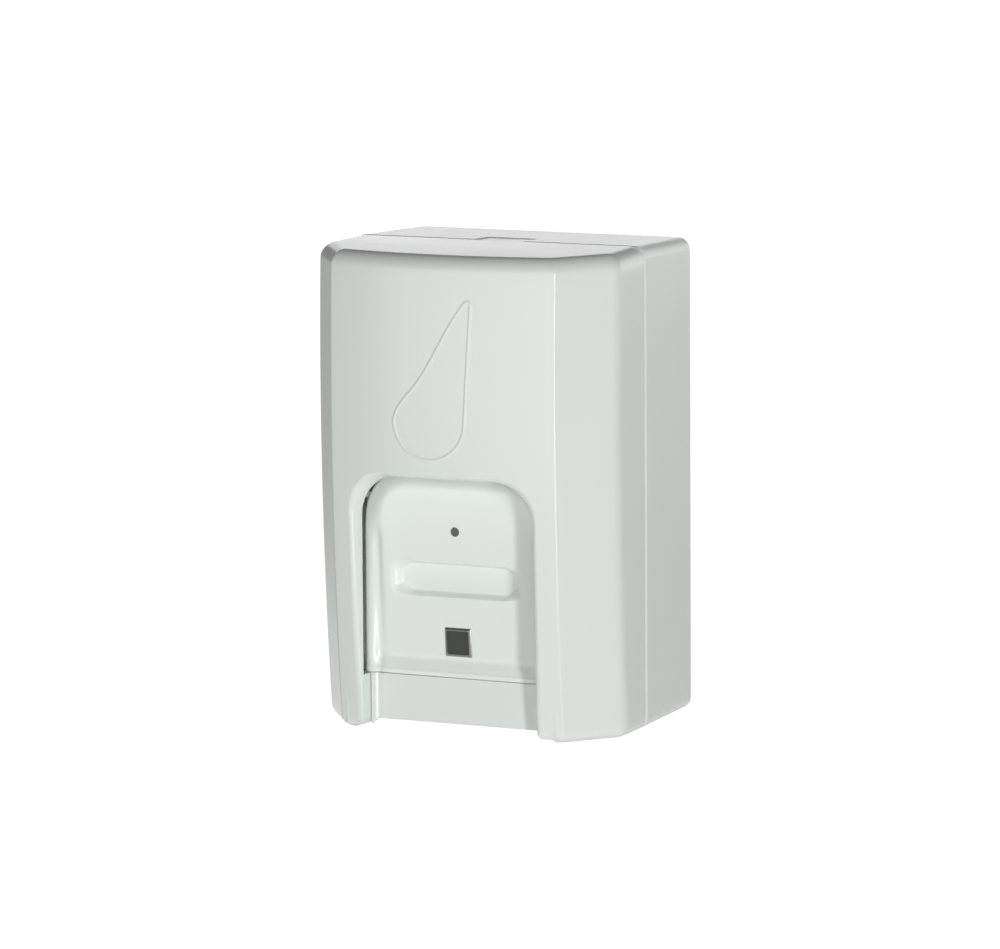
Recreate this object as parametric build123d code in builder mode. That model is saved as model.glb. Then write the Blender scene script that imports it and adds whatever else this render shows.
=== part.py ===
"""Wall mounted soap dispenser with a bottom-hinged cover and a push lever.

Millimetres. X runs to the right, Y into the wall and Z up. The wall face is Y = 0
and the origin is the centre of the four wall screws, at half the height.
"""

import math
import os

from build123d import *

os.makedirs("parts", exist_ok=True)

# Body
HEIGHT = 210.0
SEAM_WIDTH = 141.0  # across the joint between housing and cover
SEAM_DEPTH = 52.5  # wall to joint
SEAM_GAP = 0.4
SIDE_FLARE = 0.055  # each side grows by this per mm away from the wall
WALL_HEIGHT = 208.0  # height of the face against the wall
OUTLINE_RADIUS = 5.5
WALL = 2.6

# Front of the cover: a crowned middle, two ridges, two facets, all bowed in side view
RIDGE_X = 53.4
RIDGE_DEPTH = 106.4
CROWN = 6.6  # the middle stands this far in front of the ridges
SOFT_CORNER_X = 72.1
SOFT_CORNER_DEPTH = 82.0
SOFT_CORNER_RADIUS = 9.0
TOP_EDGE_RADIUS = 6.5
BOW_RADIUS = 1414.0
BOW_APEX = 43.0

# Arched window and the push lever in it
WINDOW_HALF = 42.4
WINDOW_TOP = 7.2
WINDOW_RADIUS = 18.0
WINDOW_WALL = 2.4
WINDOW_WALL_BACK = 84.0
LEVER_GAP = 1.5
LEVER_RIM = 4.7  # depths behind the ridges
LEVER_FLOOR = 10.1
LEVER_BACK = 15.0
LEVER_BOTTOM = -80.5
DISH_HALF = 37.2
DISH_TOP_RIM = 3.7
DISH_RADIUS = 23.0
APRON_FLOOR = 10.9
APRON_BOTTOM = -101.2
APRON_GAP = 1.1
APRON_RIM_STEP = 0.8  # the apron's rim is this far behind the lever's
APRON_SCREW_Z = -92.0
APRON_SCREW_RADIUS = 1.4
APRON_SCREW_LENGTH = 7.0
PANEL = 2.5
PIVOT_Y = -89.5
PIVOT_Z = -4.0
PIVOT_PIN_RADIUS = 2.0
PIN_END = 3.0
PIN_CLIP = 1.0
EAR_RADIUS = 4.5
EAR_OUTER = 34.0
EAR_WIDTH = 6.0

# Finger recess, sight window and badge on the lever
RECESS_TOP = -31.0
RECESS_BOTTOM = -45.3
RECESS_HALF = 26.2
RECESS_END_SLOPE = 6.4
RECESS_DEPTH = 4.0
RECESS_CORNER = 5.0
SIGHT_Z = -16.9
SIGHT_RADIUS = 2.1
SIGHT_SINK = 0.5
SIGHT_FLANGE = (3.3, 1.0)  # radius and thickness behind the panel
BADGE_SIZE = 12.7
BADGE_Z = -65.4
BADGE_RIM = 1.1
BADGE_PROUD = 0.8
BADGE_SEAT = 0.9
BADGE_CORNER = 0.8

# Raised drop on the cover: a round bulb with a leaning tip
DROP_BULB = (-3.2, 33.0)
DROP_BULB_RADIUS = 17.7
DROP_TIP = (16.5, 85.0)
DROP_BEAD = 1.7
DROP_HEIGHT = 0.7

# Wall screws
SCREW_SPACING_X = 100.0
SCREW_SPACING_Z = 156.0
SCREW_HOLE_RADIUS = 2.6
SCREW_PAD_RADIUS = 7.0
SCREW_PAD = 2.0

# Hinge at the foot of the joint
HINGE_Z = -102.6
KNUCKLE_RADIUS = 2.4
HINGE_PIN_RADIUS = 1.2
HINGE_X = 56.0  # middle of each hinge
COVER_KNUCKLE = 8.0
HINGE_LENGTH = 21.0
HINGE_LUG = (6.0, 2.8)  # depth and height of the lug behind a knuckle
SWING_BEVEL = 4.0
RUNNING = 0.05  # radial play of a turning or sliding fit
CLEAR = 0.5  # room around moving shapes

# Small screws and the posts that take them
SCREW_HEAD = (2.8, 1.8)  # radius and height
SCREW_RADIUS = 1.3
SCREW_CLEARANCE = 1.7
SCREW_SLOT = 0.6
POST_RADIUS = 4.5
POST_SINK = 0.5  # overlap of a post or pad with the wall it grows from

# Tank
TANK_HALF = 62.0
TANK_BACK = 10.0
TANK_FRONT_LOW = 66.0
TANK_FRONT_HIGH = 87.0
TANK_BOTTOM = -42.4
TANK_STEP_LOW = 6.0
TANK_STEP_HIGH = 24.0
TANK_TOP = 79.0
TANK_WALL = 2.0
TANK_ROUND = 3.0
MOUTH_X = 96.0
MOUTH_Y = 30.0
MOUTH_DEPTH = 65.5  # wall to the middle of the fill mouth
MOUTH_RADIUS = 5.0
TANK_EAR = (14.0, 20.0)
TANK_POST_X = 40.0
TANK_POST_Z = 84.5
TANK_SCREW_LENGTH = 8.0
LID_RIM = 4.0
LID_SKIRT = 4.0
LID_PLAY = 0.5
LID_GRIP = (30.0, 6.0, 3.0)
SHELF = 2.6
SHELF_SLOT_HALF = 12.0
SHELF_SLOT_REAR = 18.0
GASKET = 1.0
SEAL = 2.1

# Pump: a horizontal piston under the tank
PUMP_Z = -62.0
PORT_Y = -37.0
BORE_RADIUS = 8.0
BORE_REAR = 34.0
PUMP_RADIUS = 12.5
PUMP_REAR = 24.0
PUMP_FRONT = 58.0
FLANGE = 3.0
FLANGE_SIZE = (54.0, 18.0)
FLANGE_CORNER = 4.0
PUMP_POST_X = 21.0
PUMP_SCREW_LENGTH = 10.0
PORT_RADIUS = 2.0
INLET_RADIUS = 1.2
CHANNEL_BLOCK = 12.0
CHANNEL_Z = -80.5
CHANNEL_RADIUS = 2.5
CHANNEL_BOTTOM = -85.0
CHANNEL_PLUG_LENGTH = 5.0
PLUG_HEAD = 1.5
NOZZLE_Y = -60.0
NOZZLE_RADIUS = 4.5
NOZZLE_TIP = -103.5
NOZZLE_PLUG_RADIUS = 3.5
NOZZLE_BORE = 2.2
NOZZLE_COLLAR = 1.0
NOZZLE_PLUG_LENGTH = 3.0
VALVE_RADIUS = 3.0
VALVE_LENGTH = 6.0
VALVE_WALL = 1.1
VALVE_SLIT = 0.3
GLAND_RADIUS = 14.5
GLAND_REAR = 52.0
GLAND_FRONT = 62.0
PISTON_LENGTH = 8.0
SEAL_WIDTH = 2.0
SEAL_INNER = 6.2
ROD_RADIUS = 4.0
HEAD_RADIUS = 9.0
HEAD_REAR = 75.5
HEAD_FRONT = 79.5
HEAD_DOME = 2.5
ROD_END = 78.0
PAD_FACE = 82.6  # wall to the lever's pad: a little in front of the head's dome
PAD_RADIUS = 9.0
PAD_THICKNESS = 3.2
PAD_STUD_RADIUS = 2.5
PAD_STUD_LENGTH = 3.0
TOWER_RADIUS = 9.0
SPRING_SEAT = 0.3  # room at each end of a spring
PLUNGER_SPRING_RADIUS = 6.6
PLUNGER_SPRING_WIRE = 0.6
BALL_RADIUS = 2.6
BALL_TRAVEL = 1.2
SPIGOT_RADIUS = 6.0
SPIGOT_TIP = -47.0
SEAT_RADIUS = 2.0

# Latch in the top of the housing
LATCH_HALF = 11.4
LATCH_DEPTH = 14.8
LATCH_GAP = 0.6
LATCH_PLATE = 3.0
LATCH_TOP = 104.4
LATCH_STEM_Y = -42.0
LATCH_STEM_RADIUS = 3.0
LATCH_SHELF_TOP = 90.5
LATCH_SHELF_HALF = 17.0
LATCH_SHELF_FRONT = 49.0
LATCH_SPRING_RADIUS = 4.2
LATCH_SPRING_WIRE = 0.45
CLIP_BITE = 0.7
CLIP_RIM = 2.0
CROSSBAR_DEPTH = 7.0
NOSE_DEPTH = 2.6
CROSSBAR_HALF = 19.5
CROSSBAR_BOTTOM = 96.4
CROSSBAR_TOP = 98.4
NOSE_TOP = 99.2
NOSE_Y = -45.0
LATCH_STEM_BOTTOM = 85.7
LATCH_CLIP = 1.0
LATCH_CLIP_BOTTOM = 86.6
CATCH_X = 16.5
CATCH_WIDTH = 5.0
CATCH_ARM_BOTTOM = 99.5
CATCH_ARM = 1.9
CATCH_BLOCK = 10.0
CATCH_REACH = 15.5
CATCH_REACH_Y = -49.25
CATCH_SCREW_X = 9.0
CATCH_SCREW_Y = -60.9
CATCH_SCREW_LENGTH = 4.6

HALF = HEIGHT / 2
HINGE_Y = -SEAM_DEPTH
BOW_Y = BOW_RADIUS - RIDGE_DEPTH
BOW_ABOVE = 5.0  # degrees of bow swept above and in all
BOW_SWEEP = 13.0
FRONT_LIMIT = 125.0  # a plane in front of everything
IN_FRONT = -20.0  # a depth behind the ridges that is in front of everything

bow_axis = Axis((0, BOW_Y, BOW_APEX), (1, 0, 0))
bow_plane = Plane((0, BOW_Y, BOW_APEX), x_dir=(1, 0, 0), z_dir=(0, 0, 1)).rotated((-BOW_ABOVE, 0, 0))


def finish(builder, name):
    """Label a finished piece and write it."""
    builder.part.label = name
    export_step(builder.part, f"parts/{name}.step")


def half_width(depth):
    """Half the body's width at a distance from the wall."""
    return SEAM_WIDTH / 2 + SIDE_FLARE * (depth - SEAM_DEPTH)


def ridge_depth(z):
    """Distance from the wall to the ridges' level at a height."""
    return math.sqrt(BOW_RADIUS**2 - (z - BOW_APEX) ** 2) - BOW_Y


def inset_ridge(inset):
    """The ridge of the plan outline drawn in by inset, as X and distance behind the true ridge."""
    run = Vector(SOFT_CORNER_X - RIDGE_X, RIDGE_DEPTH - SOFT_CORNER_DEPTH).normalized()
    normal = Vector(run.Y, -run.X)
    crown_radius = (RIDGE_X**2 + CROWN**2) / (2 * CROWN)
    centre = Vector(0, crown_radius - CROWN)
    start = Vector(RIDGE_X, 0) - normal * inset - centre
    along = start.dot(run)
    step = -along - math.sqrt(along**2 - start.dot(start) + (crown_radius - inset) ** 2)
    return start + centre + run * step, run


def crowned_front(inset):
    """Everything behind the front's crown and facets, drawn in by inset."""
    ridge, run = inset_ridge(inset)
    level = -BOW_RADIUS
    far = ridge + run * 40
    back = RIDGE_DEPTH - SEAM_DEPTH + 20
    right_ridge = (ridge.X, level + ridge.Y)
    left_ridge = (-ridge.X, level + ridge.Y)
    with BuildPart() as body:
        with BuildSketch(bow_plane):
            with BuildLine():
                ThreePointArc(left_ridge, (0, level - CROWN + inset), right_ridge)
                Polyline(
                    right_ridge,
                    (far.X, level + far.Y),
                    (far.X, level + back),
                    (-far.X, level + back),
                    (-far.X, level + far.Y),
                    left_ridge,
                )
            make_face()
        revolve(axis=bow_axis, revolution_arc=BOW_SWEEP)
    return body.part


def front_body(inset, rear):
    """The cover's solid shape from a rear plane forward, drawn in by inset on every side."""
    with BuildPart() as body:
        add(crowned_front(inset))
        for depth in (rear, FRONT_LIMIT):
            with BuildSketch(Plane.XZ.offset(depth)):
                Rectangle(2 * (half_width(depth) - inset), HEIGHT - 2 * inset)
        loft(mode=Mode.INTERSECT)
        upright = body.edges().filter_by(lambda e: e.length > 0.8 * HEIGHT)
        fillet(upright.filter_by(lambda e: abs(e.center().X) > RIDGE_X + 5 and e.center().Y < -rear - 5),
               SOFT_CORNER_RADIUS - inset)
        for place, radius in ((-1, TOP_EDGE_RADIUS), (0, OUTLINE_RADIUS)):
            flat = body.faces().sort_by(Axis.Z)[place]
            fillet(flat.edges().filter_by(lambda e: e.center().Y < -rear - 0.01), radius - inset)
    return body.part


def bowed_slab(front, back):
    """A sheet that is straight across and bowed in side view, between two depths behind the ridges."""
    with BuildPart() as slab:
        with BuildSketch(bow_plane):
            with Locations((0, (front + back) / 2 - BOW_RADIUS)):
                Rectangle(SEAM_WIDTH, back - front)
        revolve(axis=bow_axis, revolution_arc=BOW_SWEEP)
    return slab.part


def arch_outline(half, top, radius, bottom):
    """A sketch of an arch with rounded upper corners."""
    with BuildSketch() as arch:
        with Locations((0, (top + bottom) / 2)):
            Rectangle(2 * half, top - bottom)
        fillet(arch.vertices().group_by(Axis.Y)[-1], radius)
    return arch.sketch


def bowed_block(outline, front, back):
    """An outline seen from the front, filled between two depths behind the ridges."""
    with BuildPart() as block:
        with BuildSketch(Plane.XZ.offset(SEAM_DEPTH)):
            add(outline)
        extrude(amount=FRONT_LIMIT - SEAM_DEPTH)
        add(bowed_slab(front, back), mode=Mode.INTERSECT)
    return block.part


def box_outline(half, top, bottom):
    """A sketch of a plain rectangle between two heights."""
    with BuildSketch() as face:
        with Locations((0, (top + bottom) / 2)):
            Rectangle(2 * half, top - bottom)
    return face.sketch


def screw_group(name, shank_radius, shank_length, spots):
    """Pan head screws, each given by the plane under its head, facing away from the shank."""
    head_radius, head_height = SCREW_HEAD
    with BuildPart() as screws:
        for spot in spots:
            with BuildSketch(spot):
                Circle(head_radius)
            extrude(amount=head_height)
            with BuildSketch(spot.offset(head_height)):
                Rectangle(1.4 * head_radius, SCREW_SLOT)
                Rectangle(SCREW_SLOT, 1.4 * head_radius)
            extrude(amount=-0.5 * head_height, mode=Mode.SUBTRACT)
            with BuildSketch(spot):
                Circle(shank_radius)
            extrude(amount=-shank_length)
    finish(screws, name)


def coil_spring(name, base, radius, wire, turns, length):
    """A helical spring swept on biarcs, standing on a plane along its normal."""

    def spot(t):
        angle = 2 * math.pi * t
        across = base.x_dir * math.cos(angle) + base.y_dir * math.sin(angle)
        return base.origin + across * radius + base.z_dir * (length * t / turns)

    def heading(t):
        angle = 2 * math.pi * t
        around = base.y_dir * math.cos(angle) - base.x_dir * math.sin(angle)
        return (around * (2 * math.pi * radius) + base.z_dir * (length / turns)).normalized()

    quarter = 0.25
    with BuildPart() as spring:
        with BuildLine() as path:
            for i in range(round(turns / quarter)):
                p, q = spot(i * quarter), spot((i + 1) * quarter)
                t, u = heading(i * quarter), heading((i + 1) * quarter)
                gap = q - p
                both = t + u
                a = both.dot(both) - 4
                b = gap.dot(both)
                reach = (b - math.sqrt(b * b - a * gap.dot(gap))) / a
                knee = (p + t * reach + q - u * reach) * 0.5
                TangentArc(p, knee, tangent=t)
                TangentArc(knee, q, tangent=q - u * reach - p - t * reach)
        with BuildSketch(Plane(path.line @ 0, z_dir=path.line % 0)):
            Circle(wire)
        sweep()
    samples = [spot(i / 24) for i in range(round(turns * 24) + 1)]
    least = min((samples[i] - samples[j]).length for i in range(len(samples)) for j in range(i + 12, len(samples)))
    print(f"{name}: least gap between turns {least - 2 * wire:.2f} mm")
    finish(spring, name)


# Rear housing: the shell on the wall, with the tank's shelf, the pump's posts and the latch's shelf
pump_posts = [(side * PUMP_POST_X, PUMP_Z) for side in (-1, 1)]
tank_posts = [(side * TANK_POST_X, TANK_POST_Z) for side in (-1, 1)]
hinge_middles = [-HINGE_X, HINGE_X]
wall_width = 2 * half_width(0)
inner_wall = WALL_HEIGHT - 2 * WALL

with BuildPart() as rear_housing:
    with BuildSketch(Plane.XZ):
        RectangleRounded(wall_width, WALL_HEIGHT, OUTLINE_RADIUS)
    with BuildSketch(Plane.XZ.offset(SEAM_DEPTH)):
        RectangleRounded(SEAM_WIDTH, HEIGHT, OUTLINE_RADIUS)
    loft(ruled=True)
    with BuildSketch(Plane.XZ.offset(WALL)):
        RectangleRounded(wall_width - 2 * WALL, inner_wall, OUTLINE_RADIUS - WALL)
    with BuildSketch(Plane.XZ.offset(SEAM_DEPTH)):
        RectangleRounded(SEAM_WIDTH - 2 * WALL, HEIGHT - 2 * WALL, OUTLINE_RADIUS - WALL)
    loft(ruled=True, mode=Mode.SUBTRACT)
    # Shelf under the tank, slotted for the pump's inlet
    with BuildSketch(Plane.XY.offset(TANK_BOTTOM - SHELF)):
        with Locations((0, -SEAM_DEPTH / 2)):
            Rectangle(wall_width - WALL, SEAM_DEPTH - WALL)
        with Locations((0, -SHELF_SLOT_REAR - SEAM_DEPTH / 2)):
            Rectangle(2 * SHELF_SLOT_HALF, SEAM_DEPTH, mode=Mode.SUBTRACT)
    extrude(amount=SHELF)
    # Latch shelf under the top
    with BuildSketch(Plane.XY.offset(LATCH_SHELF_TOP - SHELF)):
        with Locations((0, -LATCH_SHELF_FRONT / 2 - POST_SINK)):
            Rectangle(2 * LATCH_SHELF_HALF, LATCH_SHELF_FRONT - 2 * POST_SINK)
        with Locations((0, LATCH_STEM_Y)):
            Circle(LATCH_STEM_RADIUS + RUNNING, mode=Mode.SUBTRACT)
    extrude(amount=SHELF)
    # Posts for the pump and the tank, with pilot holes
    for posts, reach in ((pump_posts, PUMP_REAR - FLANGE), (tank_posts, TANK_BACK)):
        with BuildSketch(Plane.XZ.offset(WALL - POST_SINK)):
            with Locations(*posts):
                Circle(POST_RADIUS)
        extrude(amount=reach - WALL + POST_SINK)
        with BuildSketch(Plane.XZ.offset(reach)):
            with Locations(*posts):
                Circle(SCREW_RADIUS)
        extrude(amount=-(reach - WALL), mode=Mode.SUBTRACT)
    # Pads round the wall screws, and their holes
    with BuildSketch(Plane.XZ.offset(WALL - POST_SINK)):
        with GridLocations(SCREW_SPACING_X, SCREW_SPACING_Z, 2, 2):
            Circle(SCREW_PAD_RADIUS)
    extrude(amount=SCREW_PAD)
    with BuildSketch(Plane.XZ):
        with GridLocations(SCREW_SPACING_X, SCREW_SPACING_Z, 2, 2):
            Circle(SCREW_HOLE_RADIUS)
    extrude(amount=WALL + SCREW_PAD, mode=Mode.SUBTRACT)
    # Notch for the latch in the top, open to the joint
    with BuildSketch(Plane.XY.offset(CROSSBAR_TOP)):
        with Locations((0, -SEAM_DEPTH)):
            Rectangle(2 * (LATCH_HALF + LATCH_GAP), 2 * (LATCH_DEPTH + LATCH_GAP))
    extrude(amount=HALF - CROSSBAR_TOP, mode=Mode.SUBTRACT)
    # Bevel at the foot of the joint so that the cover can swing, then the hinge knuckles
    with BuildSketch(Plane.YZ.offset(-SEAM_WIDTH)):
        with BuildLine():
            Polyline((HINGE_Y - 1, HINGE_Z), (HINGE_Y, HINGE_Z), (HINGE_Y + SWING_BEVEL, HINGE_Z - SWING_BEVEL),
                     (HINGE_Y - 1, HINGE_Z - SWING_BEVEL), close=True)
        make_face()
    extrude(amount=2 * SEAM_WIDTH, mode=Mode.SUBTRACT)
    for middle in hinge_middles:
        with BuildSketch(Plane.YZ.offset(middle - HINGE_LENGTH / 2)):
            with Locations((HINGE_Y, HINGE_Z)):
                Circle(KNUCKLE_RADIUS)
            with Locations((HINGE_Y + HINGE_LUG[0] / 2, HINGE_Z + 1)):
                Rectangle(*HINGE_LUG)
        extrude(amount=HINGE_LENGTH)
        with BuildSketch(Plane.YZ.offset(middle - COVER_KNUCKLE / 2 - CLEAR)):
            with Locations((HINGE_Y, HINGE_Z)):
                Circle(KNUCKLE_RADIUS + CLEAR)
        extrude(amount=COVER_KNUCKLE + 2 * CLEAR, mode=Mode.SUBTRACT)
        with BuildSketch(Plane.YZ.offset(middle - HINGE_LENGTH / 2 - CLEAR)):
            with Locations((HINGE_Y, HINGE_Z)):
                Circle(HINGE_PIN_RADIUS)
        extrude(amount=HINGE_LENGTH + 2 * CLEAR, mode=Mode.SUBTRACT)
finish(rear_housing, "rear_housing")

with BuildPart() as hinge_pins:
    for middle in hinge_middles:
        with BuildSketch(Plane.YZ.offset(middle - HINGE_LENGTH / 2)):
            with Locations((HINGE_Y, HINGE_Z)):
                Circle(HINGE_PIN_RADIUS)
        extrude(amount=HINGE_LENGTH)
finish(hinge_pins, "hinge_pins")

# Front cover: a shell with the arched window, its return wall and the raised drop
cover_rear = SEAM_DEPTH + SEAM_GAP
catch_screws = [(-CATCH_SCREW_X, CATCH_SCREW_Y), (CATCH_SCREW_X, CATCH_SCREW_Y)]
apron_screw_y = -ridge_depth(APRON_SCREW_Z) + LEVER_FLOOR - 1.0
cover_shape = front_body(0, cover_rear)
cover_hollow = front_body(WALL, cover_rear - 1)

with BuildPart() as window_wall:
    with BuildSketch(Plane.XZ.offset(WINDOW_WALL_BACK)):
        add(arch_outline(WINDOW_HALF + WINDOW_WALL, WINDOW_TOP + WINDOW_WALL,
                         WINDOW_RADIUS + WINDOW_WALL, -HALF - 5))
    extrude(amount=FRONT_LIMIT - WINDOW_WALL_BACK)
    add(cover_shape, mode=Mode.INTERSECT)

lean = Vector(DROP_TIP[0] - DROP_BULB[0], DROP_TIP[1] - DROP_BULB[1])
tangent_angle = math.degrees(math.acos(DROP_BULB_RADIUS / lean.length))
lean_angle = math.degrees(math.atan2(lean.Y, lean.X))
with BuildSketch() as drop_outline:
    with BuildLine():
        bulb = CenterArc(DROP_BULB, DROP_BULB_RADIUS, lean_angle + tangent_angle, 360 - 2 * tangent_angle)
        Line(bulb @ 1, DROP_TIP)
        Line(DROP_TIP, bulb @ 0)
    make_face()
    offset(amount=-DROP_BEAD, mode=Mode.SUBTRACT)
with BuildPart() as drop_bead:
    with BuildSketch(Plane.XZ.offset(WINDOW_WALL_BACK)):
        add(drop_outline.sketch)
    extrude(amount=FRONT_LIMIT - WINDOW_WALL_BACK)
    add(crowned_front(-DROP_HEIGHT), mode=Mode.INTERSECT)
    add(crowned_front(WALL / 2), mode=Mode.SUBTRACT)

with BuildPart() as front_cover:
    add(cover_shape)
    add(cover_hollow, mode=Mode.SUBTRACT)
    add(window_wall.part)
    with BuildSketch(Plane.XZ.offset(SEAM_DEPTH)):
        add(arch_outline(WINDOW_HALF, WINDOW_TOP, WINDOW_RADIUS, -HALF - 10))
    extrude(amount=FRONT_LIMIT - SEAM_DEPTH, mode=Mode.SUBTRACT)
    add(drop_bead.part)
    # Pivot holes and apron screw holes through the window's side walls
    with BuildSketch(Plane.YZ.offset(-RIDGE_X)):
        with Locations((PIVOT_Y, PIVOT_Z)):
            Circle(PIVOT_PIN_RADIUS)
        with Locations((apron_screw_y, APRON_SCREW_Z)):
            Circle(APRON_SCREW_RADIUS)
    extrude(amount=2 * RIDGE_X, mode=Mode.SUBTRACT)
    # Pilot holes for the catch under the top
    with BuildSketch(Plane.XY.offset(CATCH_ARM_BOTTOM)):
        with Locations(*catch_screws):
            Circle(SCREW_RADIUS)
    extrude(amount=CATCH_SCREW_LENGTH + 0.1, mode=Mode.SUBTRACT)
    # Bevel at the foot of the joint, then the hinge knuckles
    with BuildSketch(Plane.YZ.offset(-SEAM_WIDTH)):
        with BuildLine():
            Polyline((HINGE_Y + 1, HINGE_Z), (HINGE_Y, HINGE_Z), (HINGE_Y - SWING_BEVEL, HINGE_Z - SWING_BEVEL),
                     (HINGE_Y + 1, HINGE_Z - SWING_BEVEL), close=True)
        make_face()
    extrude(amount=2 * SEAM_WIDTH, mode=Mode.SUBTRACT)
    for middle in hinge_middles:
        with BuildSketch(Plane.YZ.offset(middle - HINGE_LENGTH / 2 - CLEAR)):
            with Locations((HINGE_Y, HINGE_Z)):
                Circle(KNUCKLE_RADIUS + CLEAR)
        extrude(amount=HINGE_LENGTH + 2 * CLEAR, mode=Mode.SUBTRACT)
        with BuildSketch(Plane.YZ.offset(middle - COVER_KNUCKLE / 2)):
            with Locations((HINGE_Y, HINGE_Z)):
                Circle(KNUCKLE_RADIUS)
            with Locations((HINGE_Y - HINGE_LUG[0] / 2, HINGE_Z + 1)):
                Rectangle(*HINGE_LUG)
        extrude(amount=COVER_KNUCKLE)
        with BuildSketch(Plane.YZ.offset(middle - HINGE_LENGTH / 2 - CLEAR)):
            with Locations((HINGE_Y, HINGE_Z)):
                Circle(HINGE_PIN_RADIUS + RUNNING)
        extrude(amount=HINGE_LENGTH + 2 * CLEAR, mode=Mode.SUBTRACT)
finish(front_cover, "front_cover")

# Lower apron: the fixed panel between the feet, dished like the lever above it
apron_top = LEVER_BOTTOM - APRON_GAP
apron_dish = bowed_block(box_outline(DISH_HALF, apron_top + 1, APRON_BOTTOM - 1), IN_FRONT, APRON_FLOOR)
apron_block = bowed_block(box_outline(WINDOW_HALF, apron_top, APRON_BOTTOM), LEVER_RIM + APRON_RIM_STEP,
                          APRON_FLOOR + PANEL)
with BuildPart() as lower_apron:
    add(apron_block)
    add(apron_dish, mode=Mode.SUBTRACT)
    for side in (-1, 1):
        with BuildSketch(Plane.YZ.offset(side * WINDOW_HALF)):
            with Locations((apron_screw_y, APRON_SCREW_Z)):
                Circle(APRON_SCREW_RADIUS)
        extrude(amount=-side * (APRON_SCREW_LENGTH - WINDOW_WALL), mode=Mode.SUBTRACT)
finish(lower_apron, "lower_apron")

apron_screw_seat = WINDOW_HALF + WINDOW_WALL
apron_screw_spots = [
    Plane((side * apron_screw_seat, apron_screw_y, APRON_SCREW_Z), x_dir=(0, 1, 0), z_dir=(side, 0, 0))
    for side in (-1, 1)
]
screw_group("apron_screws", APRON_SCREW_RADIUS, APRON_SCREW_LENGTH, apron_screw_spots)

# Push lever: a dished panel with a finger recess, hung on a pin behind its top
lever_half = WINDOW_HALF - LEVER_GAP
lever_top = WINDOW_TOP - LEVER_GAP
lever_outline = arch_outline(lever_half, lever_top, WINDOW_RADIUS - LEVER_GAP, LEVER_BOTTOM)
dish_outline = arch_outline(DISH_HALF, lever_top - DISH_TOP_RIM, DISH_RADIUS, LEVER_BOTTOM - 5)
hollow_outline = arch_outline(lever_half - PANEL, lever_top - PANEL, WINDOW_RADIUS - LEVER_GAP - PANEL,
                              LEVER_BOTTOM + PANEL)
lever_shape = bowed_block(lever_outline, LEVER_RIM, LEVER_BACK)
lever_dish = bowed_block(dish_outline, IN_FRONT, LEVER_FLOOR)
lever_hollow = bowed_block(hollow_outline, LEVER_FLOOR + PANEL, LEVER_BACK + 10)
recess_back = bowed_block(box_outline(RECESS_HALF + RECESS_END_SLOPE + PANEL, RECESS_TOP + PANEL,
                                      RECESS_BOTTOM - PANEL), LEVER_FLOOR + 0.5, LEVER_FLOOR + RECESS_DEPTH + PANEL)
recess_z = (RECESS_TOP + RECESS_BOTTOM) / 2
recess_mouth = -ridge_depth(recess_z) + LEVER_FLOOR
pad_boss_front = -ridge_depth(PUMP_Z) + LEVER_FLOOR + 1.0
badge_face = -ridge_depth(BADGE_Z) + LEVER_FLOOR
badge_tilt = math.degrees(math.asin((BOW_APEX - BADGE_Z) / BOW_RADIUS))
badge_plane = Plane((0, badge_face, BADGE_Z), x_dir=(1, 0, 0), z_dir=(0, -1, 0)).rotated((badge_tilt, 0, 0))
sight_plane = Plane.XZ.offset(ridge_depth(SIGHT_Z) - LEVER_FLOOR)

with BuildPart() as push_lever:
    add(lever_shape)
    add(lever_dish, mode=Mode.SUBTRACT)
    add(lever_hollow, mode=Mode.SUBTRACT)
    add(recess_back)
    # Finger recess with sloping ends
    recess_height = RECESS_TOP - RECESS_BOTTOM
    for step, half in ((-3.0, RECESS_HALF + RECESS_END_SLOPE), (RECESS_DEPTH, RECESS_HALF)):
        with BuildSketch(Plane.XZ.offset(-recess_mouth - step)):
            with Locations((0, recess_z)):
                RectangleRounded(2 * half, recess_height, RECESS_CORNER)
    loft(mode=Mode.SUBTRACT)
    # Ears on the pivot pin
    for side in (-1, 1):
        with BuildSketch(Plane.YZ.offset(side * EAR_OUTER)):
            with Locations((PIVOT_Y, PIVOT_Z)):
                Circle(EAR_RADIUS)
        extrude(amount=-side * EAR_WIDTH)
    with BuildSketch(Plane.YZ.offset(-SEAM_WIDTH / 2)):
        with Locations((PIVOT_Y, PIVOT_Z)):
            Circle(PIVOT_PIN_RADIUS + RUNNING)
    extrude(amount=SEAM_WIDTH, mode=Mode.SUBTRACT)
    # Boss behind the panel for the pusher pad
    with BuildSketch(Plane.XZ.offset(PAD_FACE + PAD_THICKNESS)):
        with Locations((0, PUMP_Z)):
            Circle(PAD_RADIUS - 2)
    extrude(amount=-pad_boss_front - PAD_FACE - PAD_THICKNESS)
    with BuildSketch(Plane.XZ.offset(PAD_FACE + PAD_THICKNESS)):
        with Locations((0, PUMP_Z)):
            Circle(PAD_STUD_RADIUS)
    extrude(amount=PAD_STUD_LENGTH, mode=Mode.SUBTRACT)
    # Hole for the sight window and seat for the badge
    with BuildSketch(sight_plane.offset(2)):
        with Locations((0, SIGHT_Z)):
            Circle(SIGHT_RADIUS)
    extrude(amount=-LEVER_FLOOR, mode=Mode.SUBTRACT)
    with BuildSketch(badge_plane.offset(-BADGE_SEAT)):
        RectangleRounded(BADGE_SIZE, BADGE_SIZE, BADGE_CORNER)
    extrude(amount=5.0, mode=Mode.SUBTRACT)
finish(push_lever, "push_lever")

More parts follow.
